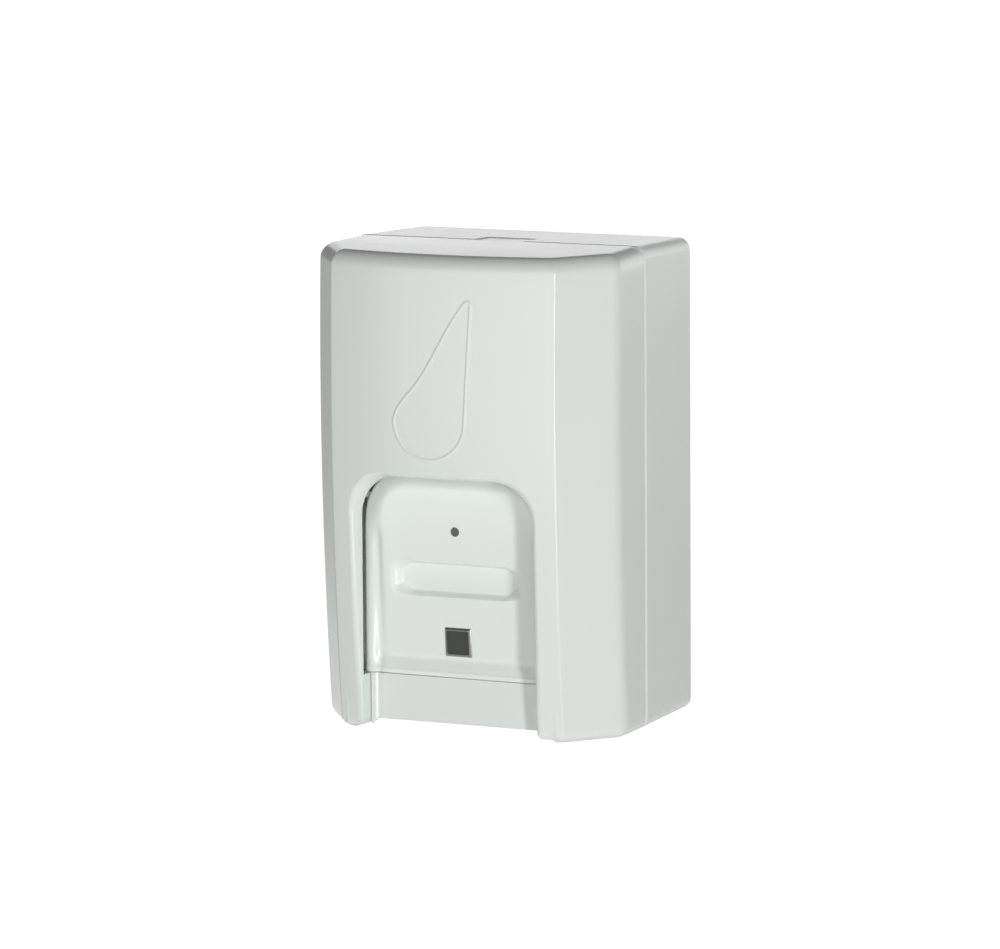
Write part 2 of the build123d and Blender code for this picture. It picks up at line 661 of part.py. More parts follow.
with BuildPart() as sight_window:
    with BuildSketch(sight_plane.offset(-SIGHT_SINK)):
        with Locations((0, SIGHT_Z)):
            Circle(SIGHT_RADIUS)
    extrude(amount=-PANEL)
    with BuildSketch(sight_plane.offset(-PANEL - SIGHT_SINK)):
        with Locations((0, SIGHT_Z)):
            Circle(SIGHT_FLANGE[0])
    extrude(amount=-SIGHT_FLANGE[1])
finish(sight_window, "sight_window")

with BuildPart() as badge_frame:
    with BuildSketch(badge_plane.offset(-BADGE_SEAT)):
        RectangleRounded(BADGE_SIZE, BADGE_SIZE, BADGE_CORNER)
    extrude(amount=BADGE_SEAT + BADGE_PROUD)
    chamfer(badge_frame.faces().sort_by(Axis.Y)[0].edges(), BADGE_RIM / 3)
    with BuildSketch(badge_plane.offset(0)):
        Rectangle(BADGE_SIZE - 2 * BADGE_RIM, BADGE_SIZE - 2 * BADGE_RIM)
    extrude(amount=BADGE_PROUD + 1, mode=Mode.SUBTRACT)
finish(badge_frame, "badge_frame")

with BuildPart() as badge_plate:
    with BuildSketch(badge_plane):
        Rectangle(BADGE_SIZE - 2 * BADGE_RIM, BADGE_SIZE - 2 * BADGE_RIM)
    extrude(amount=BADGE_PROUD / 2)
finish(badge_plate, "badge_plate")

with BuildPart() as pusher_pad:
    with BuildSketch(Plane.XZ.offset(PAD_FACE)):
        with Locations((0, PUMP_Z)):
            Circle(PAD_RADIUS)
    extrude(amount=PAD_THICKNESS)
    with BuildSketch(Plane.XZ.offset(PAD_FACE)):
        with Locations((0, PUMP_Z)):
            Circle(PAD_STUD_RADIUS)
    extrude(amount=PAD_THICKNESS + PAD_STUD_LENGTH - 0.3)
finish(pusher_pad, "pusher_pad")

pin_half = WINDOW_HALF + WINDOW_WALL + PIN_END
with BuildPart() as lever_pin:
    with BuildSketch(Plane.YZ.offset(-pin_half)):
        with Locations((PIVOT_Y, PIVOT_Z)):
            Circle(PIVOT_PIN_RADIUS)
    extrude(amount=2 * pin_half)
finish(lever_pin, "lever_pin")

with BuildPart() as pin_clips:
    for side in (-1, 1):
        with BuildSketch(Plane.YZ.offset(side * (WINDOW_HALF + WINDOW_WALL))):
            with Locations((PIVOT_Y, PIVOT_Z)):
                Circle(2 * PIVOT_PIN_RADIUS)
                Circle(PIVOT_PIN_RADIUS, mode=Mode.SUBTRACT)
            with Locations((PIVOT_Y, PIVOT_Z - 1.5 * PIVOT_PIN_RADIUS)):
                Rectangle(1.2 * PIVOT_PIN_RADIUS, 2 * PIVOT_PIN_RADIUS, mode=Mode.SUBTRACT)
        extrude(amount=side * PIN_CLIP)
finish(pin_clips, "pin_clips")

# Soap tank: a stepped box that fills the space behind the cover, with its outlet below
tank_profile = [
    (-TANK_BACK, TANK_BOTTOM),
    (-TANK_BACK, TANK_TOP),
    (-TANK_FRONT_HIGH, TANK_TOP),
    (-TANK_FRONT_HIGH, TANK_STEP_HIGH),
    (-TANK_FRONT_LOW, TANK_STEP_LOW),
    (-TANK_FRONT_LOW, TANK_BOTTOM),
]


def tank_solid(inset, radius):
    """The tank's stepped box, drawn in by inset."""
    with BuildPart() as solid:
        with BuildSketch(Plane.YZ.offset(-TANK_HALF + inset)) as side:
            with BuildLine():
                Polyline(*tank_profile, close=True)
            make_face()
            if inset:
                offset(amount=-inset, kind=Kind.INTERSECTION, mode=Mode.REPLACE)
            fillet(side.vertices(), radius)
        extrude(amount=2 * (TANK_HALF - inset))
    return solid.part


with BuildPart() as soap_tank:
    add(tank_solid(0, TANK_ROUND))
    add(tank_solid(TANK_WALL, TANK_ROUND - TANK_WALL), mode=Mode.SUBTRACT)
    # Fill mouth
    with BuildSketch(Plane.XY.offset(TANK_TOP - 2 * TANK_WALL)):
        with Locations((0, -MOUTH_DEPTH)):
            RectangleRounded(MOUTH_X, MOUTH_Y, MOUTH_RADIUS)
    extrude(amount=4 * TANK_WALL, mode=Mode.SUBTRACT)
    # Outlet spigot
    with BuildSketch(Plane.XY.offset(SPIGOT_TIP)):
        with Locations((0, PORT_Y)):
            Circle(SPIGOT_RADIUS)
    extrude(amount=TANK_BOTTOM + POST_SINK - SPIGOT_TIP)
    with BuildSketch(Plane.XY.offset(SPIGOT_TIP - 1)):
        with Locations((0, PORT_Y)):
            Circle(SEAT_RADIUS)
    extrude(amount=TANK_BOTTOM + TANK_WALL + 2 - SPIGOT_TIP, mode=Mode.SUBTRACT)
    # Ears screwed to the housing's upper posts
    with BuildSketch(Plane.XZ.offset(TANK_BACK)):
        with Locations(*tank_posts):
            Rectangle(*TANK_EAR)
            Circle(SCREW_CLEARANCE, mode=Mode.SUBTRACT)
    extrude(amount=TANK_WALL)
finish(soap_tank, "soap_tank")

tank_screw_spots = [Plane((x, -TANK_BACK - TANK_WALL, z), x_dir=(1, 0, 0), z_dir=(0, -1, 0)) for x, z in tank_posts]
screw_group("tank_screws", SCREW_RADIUS, TANK_SCREW_LENGTH, tank_screw_spots)

lid_size = (MOUTH_X + 2 * LID_RIM, MOUTH_Y + 2 * LID_RIM)
skirt_size = (MOUTH_X - 2 * LID_PLAY, MOUTH_Y - 2 * LID_PLAY)
with BuildPart() as tank_lid:
    with BuildSketch(Plane.XY.offset(TANK_TOP + GASKET)):
        with Locations((0, -MOUTH_DEPTH)):
            RectangleRounded(*lid_size, MOUTH_RADIUS + LID_RIM)
    extrude(amount=PANEL)
    fillet(tank_lid.faces().sort_by(Axis.Z)[-1].edges(), PANEL / 2.5)
    with BuildSketch(Plane.XY.offset(TANK_TOP + GASKET)):
        with Locations((0, -MOUTH_DEPTH)):
            RectangleRounded(*skirt_size, MOUTH_RADIUS - LID_PLAY)
            RectangleRounded(skirt_size[0] - 2 * TANK_WALL, skirt_size[1] - 2 * TANK_WALL,
                             MOUTH_RADIUS - LID_PLAY - TANK_WALL, mode=Mode.SUBTRACT)
    extrude(amount=-LID_SKIRT - GASKET)
    with BuildSketch(Plane.XY.offset(TANK_TOP + GASKET + PANEL)):
        with Locations((0, -MOUTH_DEPTH)):
            RectangleRounded(LID_GRIP[0], LID_GRIP[1], 0.4 * LID_GRIP[1])
    extrude(amount=LID_GRIP[2])
finish(tank_lid, "tank_lid")

with BuildPart() as lid_gasket:
    with BuildSketch(Plane.XY.offset(TANK_TOP)):
        with Locations((0, -MOUTH_DEPTH)):
            RectangleRounded(lid_size[0] - 2 * LID_PLAY, lid_size[1] - 2 * LID_PLAY,
                             MOUTH_RADIUS + LID_RIM - LID_PLAY)
            RectangleRounded(MOUTH_X, MOUTH_Y, MOUTH_RADIUS, mode=Mode.SUBTRACT)
    extrude(amount=GASKET)
finish(lid_gasket, "lid_gasket")

# Pump: barrel, inlet tower with its ball, outlet channel and nozzle
tower_top = TANK_BOTTOM - SEAL
pocket_floor = SPIGOT_TIP - math.sqrt(BALL_RADIUS**2 - SEAT_RADIUS**2) - BALL_TRAVEL - BALL_RADIUS
with BuildPart() as tank_seal:
    with BuildSketch(Plane.XY.offset(tower_top)):
        with Locations((0, PORT_Y)):
            Circle(TOWER_RADIUS)
            Circle(SPIGOT_RADIUS, mode=Mode.SUBTRACT)
    extrude(amount=SEAL)
finish(tank_seal, "tank_seal")

with BuildPart() as pump_body:
    with BuildSketch(Plane.XZ.offset(PUMP_REAR)):
        with Locations((0, PUMP_Z)):
            Circle(PUMP_RADIUS)
    extrude(amount=PUMP_FRONT - PUMP_REAR)
    with BuildSketch(Plane.XZ.offset(PUMP_REAR - FLANGE)):
        with Locations((0, PUMP_Z)):
            RectangleRounded(*FLANGE_SIZE, FLANGE_CORNER)
        with Locations(*pump_posts):
            Circle(SCREW_CLEARANCE, mode=Mode.SUBTRACT)
    extrude(amount=FLANGE)
    with BuildSketch(Plane.XY.offset(PUMP_Z)):
        with Locations((0, PORT_Y)):
            Circle(TOWER_RADIUS)
    extrude(amount=tower_top - PUMP_Z)
    # Outlet channel under the barrel, lower where the gland nut is
    for front, top in ((GLAND_REAR - 2 * CLEAR, PUMP_Z - BORE_RADIUS),
                       (-NOZZLE_Y + CHANNEL_BLOCK / 2, PUMP_Z - GLAND_RADIUS - CLEAR)):
        with BuildSketch(Plane.XZ.offset(PUMP_REAR)):
            with Locations((0, (top + CHANNEL_BOTTOM) / 2)):
                Rectangle(CHANNEL_BLOCK, top - CHANNEL_BOTTOM)
        extrude(amount=front - PUMP_REAR)
    with BuildSketch(Plane.XZ.offset(BORE_REAR)):
        with Locations((0, PUMP_Z)):
            Circle(BORE_RADIUS)
    extrude(amount=PUMP_FRONT - BORE_REAR, mode=Mode.SUBTRACT)
    with BuildSketch(Plane.XZ.offset(PUMP_REAR)):
        with Locations((0, CHANNEL_Z)):
            Circle(CHANNEL_RADIUS)
    extrude(amount=-NOZZLE_Y - PUMP_REAR, mode=Mode.SUBTRACT)
    for y, low, high, radius in (
        (PORT_Y, CHANNEL_Z, PUMP_Z, PORT_RADIUS),
        (NOZZLE_Y, CHANNEL_BOTTOM - 1, CHANNEL_Z, NOZZLE_PLUG_RADIUS),
        (PORT_Y, PUMP_Z, pocket_floor + 0.1, INLET_RADIUS),
        (PORT_Y, pocket_floor - 0.1, SPIGOT_TIP, BALL_RADIUS + 1.0),
        (PORT_Y, SPIGOT_TIP - 0.1, tower_top + 1, SPIGOT_RADIUS + RUNNING),
    ):
        with BuildSketch(Plane.XY.offset(low)):
            with Locations((0, y)):
                Circle(radius)
        extrude(amount=high - low, mode=Mode.SUBTRACT)
finish(pump_body, "pump_body")

pump_screw_spots = [Plane((x, -PUMP_REAR, z), x_dir=(1, 0, 0), z_dir=(0, -1, 0)) for x, z in pump_posts]
screw_group("pump_screws", SCREW_RADIUS, PUMP_SCREW_LENGTH, pump_screw_spots)

with BuildPart() as inlet_ball:
    with Locations((0, PORT_Y, pocket_floor + BALL_RADIUS)):
        Sphere(BALL_RADIUS)
finish(inlet_ball, "inlet_ball")

with BuildPart() as channel_plug:
    with BuildSketch(Plane.XZ.offset(PUMP_REAR)):
        with Locations((0, CHANNEL_Z)):
            Circle(CHANNEL_RADIUS)
    extrude(amount=CHANNEL_PLUG_LENGTH)
    with BuildSketch(Plane.XZ.offset(PUMP_REAR)):
        with Locations((0, CHANNEL_Z)):
            Circle(CHANNEL_RADIUS + PLUG_HEAD)
    extrude(amount=-PLUG_HEAD)
finish(channel_plug, "channel_plug")

with BuildPart() as nozzle:
    with BuildSketch(Plane.XY.offset(CHANNEL_BOTTOM)):
        with Locations((0, NOZZLE_Y)):
            Circle(NOZZLE_RADIUS + NOZZLE_COLLAR)
    extrude(amount=-NOZZLE_PLUG_LENGTH)
    with BuildSketch(Plane.XY.offset(CHANNEL_BOTTOM)):
        with Locations((0, NOZZLE_Y)):
            Circle(NOZZLE_RADIUS)
    extrude(amount=NOZZLE_TIP - CHANNEL_BOTTOM, taper=2)
    with BuildSketch(Plane.XY.offset(CHANNEL_BOTTOM)):
        with Locations((0, NOZZLE_Y)):
            Circle(NOZZLE_PLUG_RADIUS)
    extrude(amount=NOZZLE_PLUG_LENGTH)
    with BuildSketch(Plane.XY.offset(NOZZLE_TIP - 1)):
        with Locations((0, NOZZLE_Y)):
            Circle(NOZZLE_BORE)
    extrude(amount=CHANNEL_Z - NOZZLE_TIP, mode=Mode.SUBTRACT)
    with BuildSketch(Plane.XY.offset(NOZZLE_TIP - 1)):
        with Locations((0, NOZZLE_Y)):
            Circle(VALVE_RADIUS)
    extrude(amount=VALVE_LENGTH + 1, mode=Mode.SUBTRACT)
finish(nozzle, "nozzle")

with BuildPart() as outlet_valve:
    with BuildSketch(Plane.XY.offset(NOZZLE_TIP + VALVE_LENGTH)):
        with Locations((0, NOZZLE_Y)):
            Circle(VALVE_RADIUS)
            Circle(VALVE_RADIUS - VALVE_WALL, mode=Mode.SUBTRACT)
    extrude(amount=-VALVE_LENGTH / 2)
    with BuildSketch(Plane.XY.offset(NOZZLE_TIP + VALVE_LENGTH / 2)):
        with Locations((0, NOZZLE_Y)):
            Circle(VALVE_RADIUS)
    with BuildSketch(Plane.XY.offset(NOZZLE_TIP + CLEAR)):
        with Locations((0, NOZZLE_Y)):
            Ellipse(VALVE_RADIUS, VALVE_RADIUS / 4)
    loft()
    with BuildSketch(Plane.XY.offset(NOZZLE_TIP)):
        with Locations((0, NOZZLE_Y)):
            Rectangle(1.6 * VALVE_RADIUS, VALVE_SLIT)
    extrude(amount=VALVE_LENGTH, mode=Mode.SUBTRACT)
finish(outlet_valve, "outlet_valve")

with BuildPart() as gland_nut:
    with BuildSketch(Plane.XZ.offset(GLAND_REAR)):
        with Locations((0, PUMP_Z)):
            RegularPolygon(GLAND_RADIUS, 12)
    extrude(amount=GLAND_FRONT - GLAND_REAR)
    with BuildSketch(Plane.XZ.offset(GLAND_REAR)):
        with Locations((0, PUMP_Z)):
            Circle(PUMP_RADIUS)
    extrude(amount=PUMP_FRONT - GLAND_REAR, mode=Mode.SUBTRACT)
    with BuildSketch(Plane.XZ.offset(PUMP_FRONT)):
        with Locations((0, PUMP_Z)):
            Circle(ROD_RADIUS + RUNNING)
    extrude(amount=GLAND_FRONT - PUMP_FRONT, mode=Mode.SUBTRACT)
finish(gland_nut, "gland_nut")

# Plunger: piston and rod, its seal, the head that the lever pushes, and the return spring
piston_rear = PUMP_FRONT - CLEAR - PISTON_LENGTH
groove_rear = piston_rear + PISTON_LENGTH / 2 - SEAL_WIDTH / 2
with BuildPart() as pump_plunger:
    with BuildSketch(Plane.XZ.offset(piston_rear)):
        with Locations((0, PUMP_Z)):
            Circle(BORE_RADIUS - 0.1)
    extrude(amount=PISTON_LENGTH)
    with BuildSketch(Plane.XZ.offset(groove_rear)):
        with Locations((0, PUMP_Z)):
            Circle(BORE_RADIUS + 1)
            Circle(SEAL_INNER, mode=Mode.SUBTRACT)
    extrude(amount=SEAL_WIDTH, mode=Mode.SUBTRACT)
    with BuildSketch(Plane.XZ.offset(piston_rear)):
        with Locations((0, PUMP_Z)):
            Circle(ROD_RADIUS)
    extrude(amount=ROD_END - piston_rear)
finish(pump_plunger, "pump_plunger")

with BuildPart() as piston_seal:
    with BuildSketch(Plane.XZ.offset(groove_rear)):
        with Locations((0, PUMP_Z)):
            Circle(BORE_RADIUS - 0.03)
            Circle(SEAL_INNER, mode=Mode.SUBTRACT)
    extrude(amount=SEAL_WIDTH)
finish(piston_seal, "piston_seal")

dome_radius = (HEAD_RADIUS**2 + HEAD_DOME**2) / (2 * HEAD_DOME)
dome_apex = -HEAD_FRONT - HEAD_DOME
half_arc = math.asin(HEAD_RADIUS / dome_radius) / 2
dome_middle = (dome_apex + dome_radius * (1 - math.cos(half_arc)), PUMP_Z + dome_radius * math.sin(half_arc))
with BuildPart() as plunger_head:
    with BuildSketch(Plane.YZ):
        with BuildLine():
            Polyline((dome_apex, PUMP_Z), (-HEAD_REAR, PUMP_Z), (-HEAD_REAR, PUMP_Z + HEAD_RADIUS),
                     (-HEAD_FRONT, PUMP_Z + HEAD_RADIUS))
            ThreePointArc((-HEAD_FRONT, PUMP_Z + HEAD_RADIUS), dome_middle, (dome_apex, PUMP_Z))
        make_face()
    revolve(axis=Axis((0, 0, PUMP_Z), (0, 1, 0)))
    with BuildSketch(Plane.XZ.offset(HEAD_REAR)):
        with Locations((0, PUMP_Z)):
            Circle(ROD_RADIUS)
    extrude(amount=ROD_END - HEAD_REAR, mode=Mode.SUBTRACT)
finish(plunger_head, "plunger_head")

plunger_spring_start = SPRING_SEAT + PLUNGER_SPRING_WIRE
plunger_spring_base = Plane((0, -GLAND_FRONT - plunger_spring_start, PUMP_Z), x_dir=(1, 0, 0), z_dir=(0, -1, 0))
coil_spring("plunger_spring", plunger_spring_base, PLUNGER_SPRING_RADIUS, PLUNGER_SPRING_WIRE, 3,
            HEAD_REAR - GLAND_FRONT - 2 * plunger_spring_start)

# Latch: the tab in the housing's top, its stem, cross bar and noses, its spring and its clip
with BuildPart() as latch_button:
    with BuildSketch(Plane.XY.offset(LATCH_TOP - LATCH_PLATE)):
        with Locations((0, -SEAM_DEPTH + LATCH_DEPTH / 2)):
            Rectangle(2 * LATCH_HALF, LATCH_DEPTH)
    extrude(amount=LATCH_PLATE)
    fillet(latch_button.faces().sort_by(Axis.Z)[-1].edges(), 0.5)
    with BuildSketch(Plane.XY.offset(LATCH_STEM_BOTTOM)):
        with Locations((0, LATCH_STEM_Y)):
            Circle(LATCH_STEM_RADIUS)
    extrude(amount=LATCH_TOP - LATCH_PLATE - LATCH_STEM_BOTTOM)
    with BuildSketch(Plane.XY.offset(CROSSBAR_BOTTOM)):
        with Locations((0, LATCH_STEM_Y - 1)):
            Rectangle(2 * CROSSBAR_HALF, CROSSBAR_DEPTH)
    extrude(amount=CROSSBAR_TOP - CROSSBAR_BOTTOM)
    with BuildSketch(Plane.XY.offset(CROSSBAR_TOP - 0.5)):
        with Locations((-CATCH_X, NOSE_Y), (CATCH_X, NOSE_Y)):
            Rectangle(CATCH_WIDTH - 1, NOSE_DEPTH)
    extrude(amount=NOSE_TOP - CROSSBAR_TOP + 0.5)
    with BuildSketch(Plane.XY.offset(LATCH_CLIP_BOTTOM)):
        with Locations((0, LATCH_STEM_Y)):
            Circle(LATCH_STEM_RADIUS)
            Circle(LATCH_STEM_RADIUS - CLIP_BITE, mode=Mode.SUBTRACT)
    extrude(amount=LATCH_CLIP, mode=Mode.SUBTRACT)
finish(latch_button, "latch_button")

with BuildPart() as latch_clip:
    with BuildSketch(Plane.XY.offset(LATCH_CLIP_BOTTOM)):
        with Locations((0, LATCH_STEM_Y)):
            Circle(LATCH_STEM_RADIUS + CLIP_RIM)
            Circle(LATCH_STEM_RADIUS - CLIP_BITE, mode=Mode.SUBTRACT)
        with Locations((0, LATCH_STEM_Y + LATCH_STEM_RADIUS)):
            Rectangle(LATCH_STEM_RADIUS, 2 * LATCH_STEM_RADIUS, mode=Mode.SUBTRACT)
    extrude(amount=LATCH_CLIP)
finish(latch_clip, "latch_clip")

latch_spring_start = SPRING_SEAT + LATCH_SPRING_WIRE
latch_spring_base = Plane((0, LATCH_STEM_Y, LATCH_SHELF_TOP + latch_spring_start))
coil_spring("latch_spring", latch_spring_base, LATCH_SPRING_RADIUS, LATCH_SPRING_WIRE, 3,
            CROSSBAR_BOTTOM - LATCH_SHELF_TOP - 2 * latch_spring_start)

# Cover catch: two arms that reach back over the latch's noses, screwed under the cover's top
catch_top = HALF - WALL
with BuildPart() as cover_catch:
    with BuildSketch(Plane.XY.offset(CATCH_ARM_BOTTOM)):
        with Locations((0, CATCH_SCREW_Y)):
            Rectangle(2 * CATCH_X + CATCH_WIDTH, CATCH_BLOCK)
    extrude(amount=catch_top - CATCH_ARM_BOTTOM)
    with BuildSketch(Plane.XY.offset(CATCH_ARM_BOTTOM)):
        with Locations((-CATCH_X, CATCH_REACH_Y), (CATCH_X, CATCH_REACH_Y)):
            Rectangle(CATCH_WIDTH, CATCH_REACH)
    extrude(amount=CATCH_ARM)
    with BuildSketch(Plane.XY.offset(CATCH_ARM_BOTTOM)):
        with Locations(*catch_screws):
            Circle(SCREW_RADIUS)
    extrude(amount=2 * CATCH_ARM, mode=Mode.SUBTRACT)
finish(cover_catch, "cover_catch")

catch_screw_spots = [
    Plane((x, y, CATCH_ARM_BOTTOM), x_dir=(1, 0, 0), z_dir=(0, 0, -1)) for x, y in catch_screws
]
screw_group("catch_screws", SCREW_RADIUS, CATCH_SCREW_LENGTH, catch_screw_spots)
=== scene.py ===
"""Looks of the wall mounted soap dispenser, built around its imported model.

Sizes are in millimetres, and MM turns them into the scene's metres. X runs to the right, Y into the
wall and Z up. The wall face is Y = 0.
"""

import math

import bpy
from mathutils import Matrix, Vector


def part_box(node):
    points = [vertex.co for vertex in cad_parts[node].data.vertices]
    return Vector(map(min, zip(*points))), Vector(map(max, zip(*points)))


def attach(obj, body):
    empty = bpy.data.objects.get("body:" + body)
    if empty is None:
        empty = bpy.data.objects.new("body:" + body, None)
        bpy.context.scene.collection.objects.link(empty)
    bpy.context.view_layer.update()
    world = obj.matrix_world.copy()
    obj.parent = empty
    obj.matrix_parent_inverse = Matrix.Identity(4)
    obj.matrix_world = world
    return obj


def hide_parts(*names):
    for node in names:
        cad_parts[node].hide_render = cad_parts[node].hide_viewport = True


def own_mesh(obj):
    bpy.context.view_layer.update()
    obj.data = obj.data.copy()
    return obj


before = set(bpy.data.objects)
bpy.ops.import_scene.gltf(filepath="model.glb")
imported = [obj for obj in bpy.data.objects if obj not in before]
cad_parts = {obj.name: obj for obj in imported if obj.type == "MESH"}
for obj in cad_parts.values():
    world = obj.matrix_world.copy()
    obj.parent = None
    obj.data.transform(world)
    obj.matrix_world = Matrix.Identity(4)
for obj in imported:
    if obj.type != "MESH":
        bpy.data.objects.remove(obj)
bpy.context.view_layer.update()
MM = 0.001


# Rear housing
# The drafted shell that is screwed to the wall and carries tank, pump and hinge.
# It is one injection moulding in white plastic with a fine satin grain.
class Shade:
    """A shader socket with Python arithmetic: an operator adds the Math node that it means."""

    def __init__(self, tree, socket=None):
        self.tree = tree
        self.socket = socket

    def add(self, kind, settings=None, links=None, output=0):
        """Add a node of a kind: its settings are set first, then its sockets get values or links."""
        node = self.tree.nodes.new("ShaderNode" + kind)
        for name, value in (settings or {}).items():
            setattr(node, name, value)
        for name, value in (links or {}).items():
            if isinstance(value, Shade):
                self.tree.links.new(value.socket, node.inputs[name])
            else:
                node.inputs[name].default_value = value
        return Shade(self.tree, node.outputs[output])

    def math(self, operation, first, second):
        """Add a Math node of two values."""
        return self.add("Math", {"operation": operation}, {0: first, 1: second})

    def __add__(self, other):
        return self.math("ADD", self, other)

    def __radd__(self, other):
        return self.math("ADD", other, self)

    def __mul__(self, other):
        return self.math("MULTIPLY", self, other)

    def __rmul__(self, other):
        return self.math("MULTIPLY", other, self)

    def into(self, node, name):
        """Feed a socket of a node that is there already."""
        self.tree.links.new(self.socket, node.inputs[name])

    def blend(self, dark, light):
        """A colour between two, with this as the factor: a Mix node's sockets 6, 7 and 2 are colours."""
        return self.add("Mix", {"data_type": "RGBA"}, {0: self, 6: (*dark, 1.0), 7: (*light, 1.0)}, output=2)


def scaled(colour, factor):
    """A colour made darker or lighter."""
    return tuple(min(1.0, channel * factor) for channel in colour)


PLASTIC_TONES = (0.985, 1.012)
CLOUD_SHARE = 0.7
SPECK_SHARE = 0.3
CLOUD_GLOSS = 0.06
SPECK_GLOSS = 0.05
GLOSS_SHIFT = 0.05
GRAIN_DEPTH = 0.012
GRAIN_STRENGTH = 0.35


def moulded_plastic(name, colour, roughness, grain=1.0):
    """Injection moulded plastic: satin grain, faint flow clouds and slightly uneven gloss."""
    material = bpy.data.materials.new(name)
    material.use_nodes = True
    tree = material.node_tree
    shader = tree.nodes["Principled BSDF"]
    shader.inputs["IOR"].default_value = 1.5
    shade = Shade(tree)
    place = shade.add("TexCoord", output="Object")
    clouds = shade.add("TexNoise", links={"Vector": place, "Scale": 22.0, "Detail": 3.0})
    satin = shade.add("TexNoise", links={"Vector": place, "Scale": 2600.0, "Detail": 2.0})
    specks = shade.add("TexNoise", links={"Vector": place, "Scale": 420.0, "Detail": 4.0, "Roughness": 0.7})
    tone = clouds * CLOUD_SHARE + specks * SPECK_SHARE
    tone.blend(*[scaled(colour, factor) for factor in PLASTIC_TONES]).into(shader, "Base Color")
    (roughness - GLOSS_SHIFT + clouds * CLOUD_GLOSS + specks * SPECK_GLOSS).into(shader, "Roughness")
    relief = {"Height": satin, "Distance": GRAIN_DEPTH * MM, "Strength": GRAIN_STRENGTH * grain}
    shade.add("Bump", links=relief).into(shader, "Normal")
    return material


def dress(node, material):
    """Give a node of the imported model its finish."""
    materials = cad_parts[node].data.materials
    materials.clear()
    materials.append(material)


def sheet(name, rows):
    """A grid primitive whose points are laid on rows of places given in millimetres."""
    columns = len(rows[0])
    bpy.ops.object.select_all(action="DESELECT")
    bpy.ops.mesh.primitive_grid_add(x_subdivisions=columns - 1, y_subdivisions=len(rows) - 1, size=1)
    piece = bpy.context.object
    piece.name = name
    piece.data.name = name
    flat = [value * MM for row in rows for spot in row for value in spot]
    piece.data.vertices.foreach_set("co", flat)
    piece.data.update()
    return piece


def pick(piece, chosen):
    """Go into edit mode with only the chosen points selected."""
    bpy.ops.object.select_all(action="DESELECT")
    bpy.context.view_layer.objects.active = piece
    piece.select_set(True)
    bpy.ops.object.mode_set(mode="EDIT")
    bpy.ops.mesh.select_mode(type="VERT")
    bpy.ops.mesh.select_all(action="DESELECT")
    bpy.ops.object.mode_set(mode="OBJECT")
    for index in chosen:
        piece.data.vertices[index].select = True
    bpy.ops.object.mode_set(mode="EDIT")


MERGE_WITHIN = 0.001
SEW_WITHIN = 0.0005


def merge(piece):
    """Merge a piece's points that lie on each other."""
    pick(piece, [])
    bpy.ops.mesh.select_all(action="SELECT")
    bpy.ops.mesh.remove_doubles(threshold=MERGE_WITHIN * MM)
    bpy.ops.object.mode_set(mode="OBJECT")


def worked_copy(node, name):
    """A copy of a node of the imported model, its points merged, to be worked on."""
    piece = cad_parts[node].copy()
    piece.data = piece.data.copy()
    piece.name = name
    bpy.context.scene.collection.objects.link(piece)
    merge(piece)
    return piece


def change(piece, kind, **settings):
    """Add a modifier to a piece and apply it."""
    modifier = piece.modifiers.new(kind, kind)
    for name, value in settings.items():
        setattr(modifier, name, value)
    bpy.ops.object.select_all(action="DESELECT")
    piece.select_set(True)
    bpy.context.view_layer.objects.active = piece
    bpy.ops.object.modifier_apply(modifier=modifier.name)


def cut(piece, tool, operation="DIFFERENCE"):
    """Cut a piece with a tool, or fuse the two, and throw the tool away."""
    change(piece, "BOOLEAN", operation=operation, solver="EXACT", object=tool)
    bpy.data.objects.remove(tool)


def closed(piece):
    """Merge points that lie on each other, fill what is still open and turn the faces outward."""
    pick(piece, [])
    bpy.ops.mesh.select_all(action="SELECT")
    bpy.ops.mesh.remove_doubles(threshold=SEW_WITHIN * MM)
    bpy.ops.mesh.fill_holes(sides=0)
    bpy.ops.mesh.normals_make_consistent(inside=False)
    bpy.ops.object.mode_set(mode="OBJECT")


def looped(name, loops):
    """A solid through closed loops of places: flat at its ends, or a ring where the last is the first."""
    piece = sheet(name, [[*loop, loop[0]] for loop in loops])
    closed(piece)
    return piece


def smooth(piece, material, angle=32.0):
    """Give a piece its finish, smooth where its faces meet at a small angle."""
    piece.data.materials.clear()
    piece.data.materials.append(material)
    bpy.ops.object.select_all(action="DESELECT")
    piece.select_set(True)
    bpy.context.view_layer.objects.active = piece
    bpy.ops.object.shade_smooth_by_angle(angle=math.radians(angle))


WHITE = (0.788, 0.83, 0.797)
housing_plastic = moulded_plastic("housing_white_plastic", WHITE, roughness=0.24)
HALF_HEIGHT = 105.0
SEAM_HALF = 70.5
SEAM_DEPTH = 52.5
OUTLINE_ROUND = 5.5
OUTLINE_TURN = 10
JOINT_BEVEL = 2.0
BEVEL_FOOT = 1.0
BEVEL_PAST = 1.0
BEVEL_BEFORE = 0.5
housing = worked_copy("rear_housing", "rear_housing_shell")

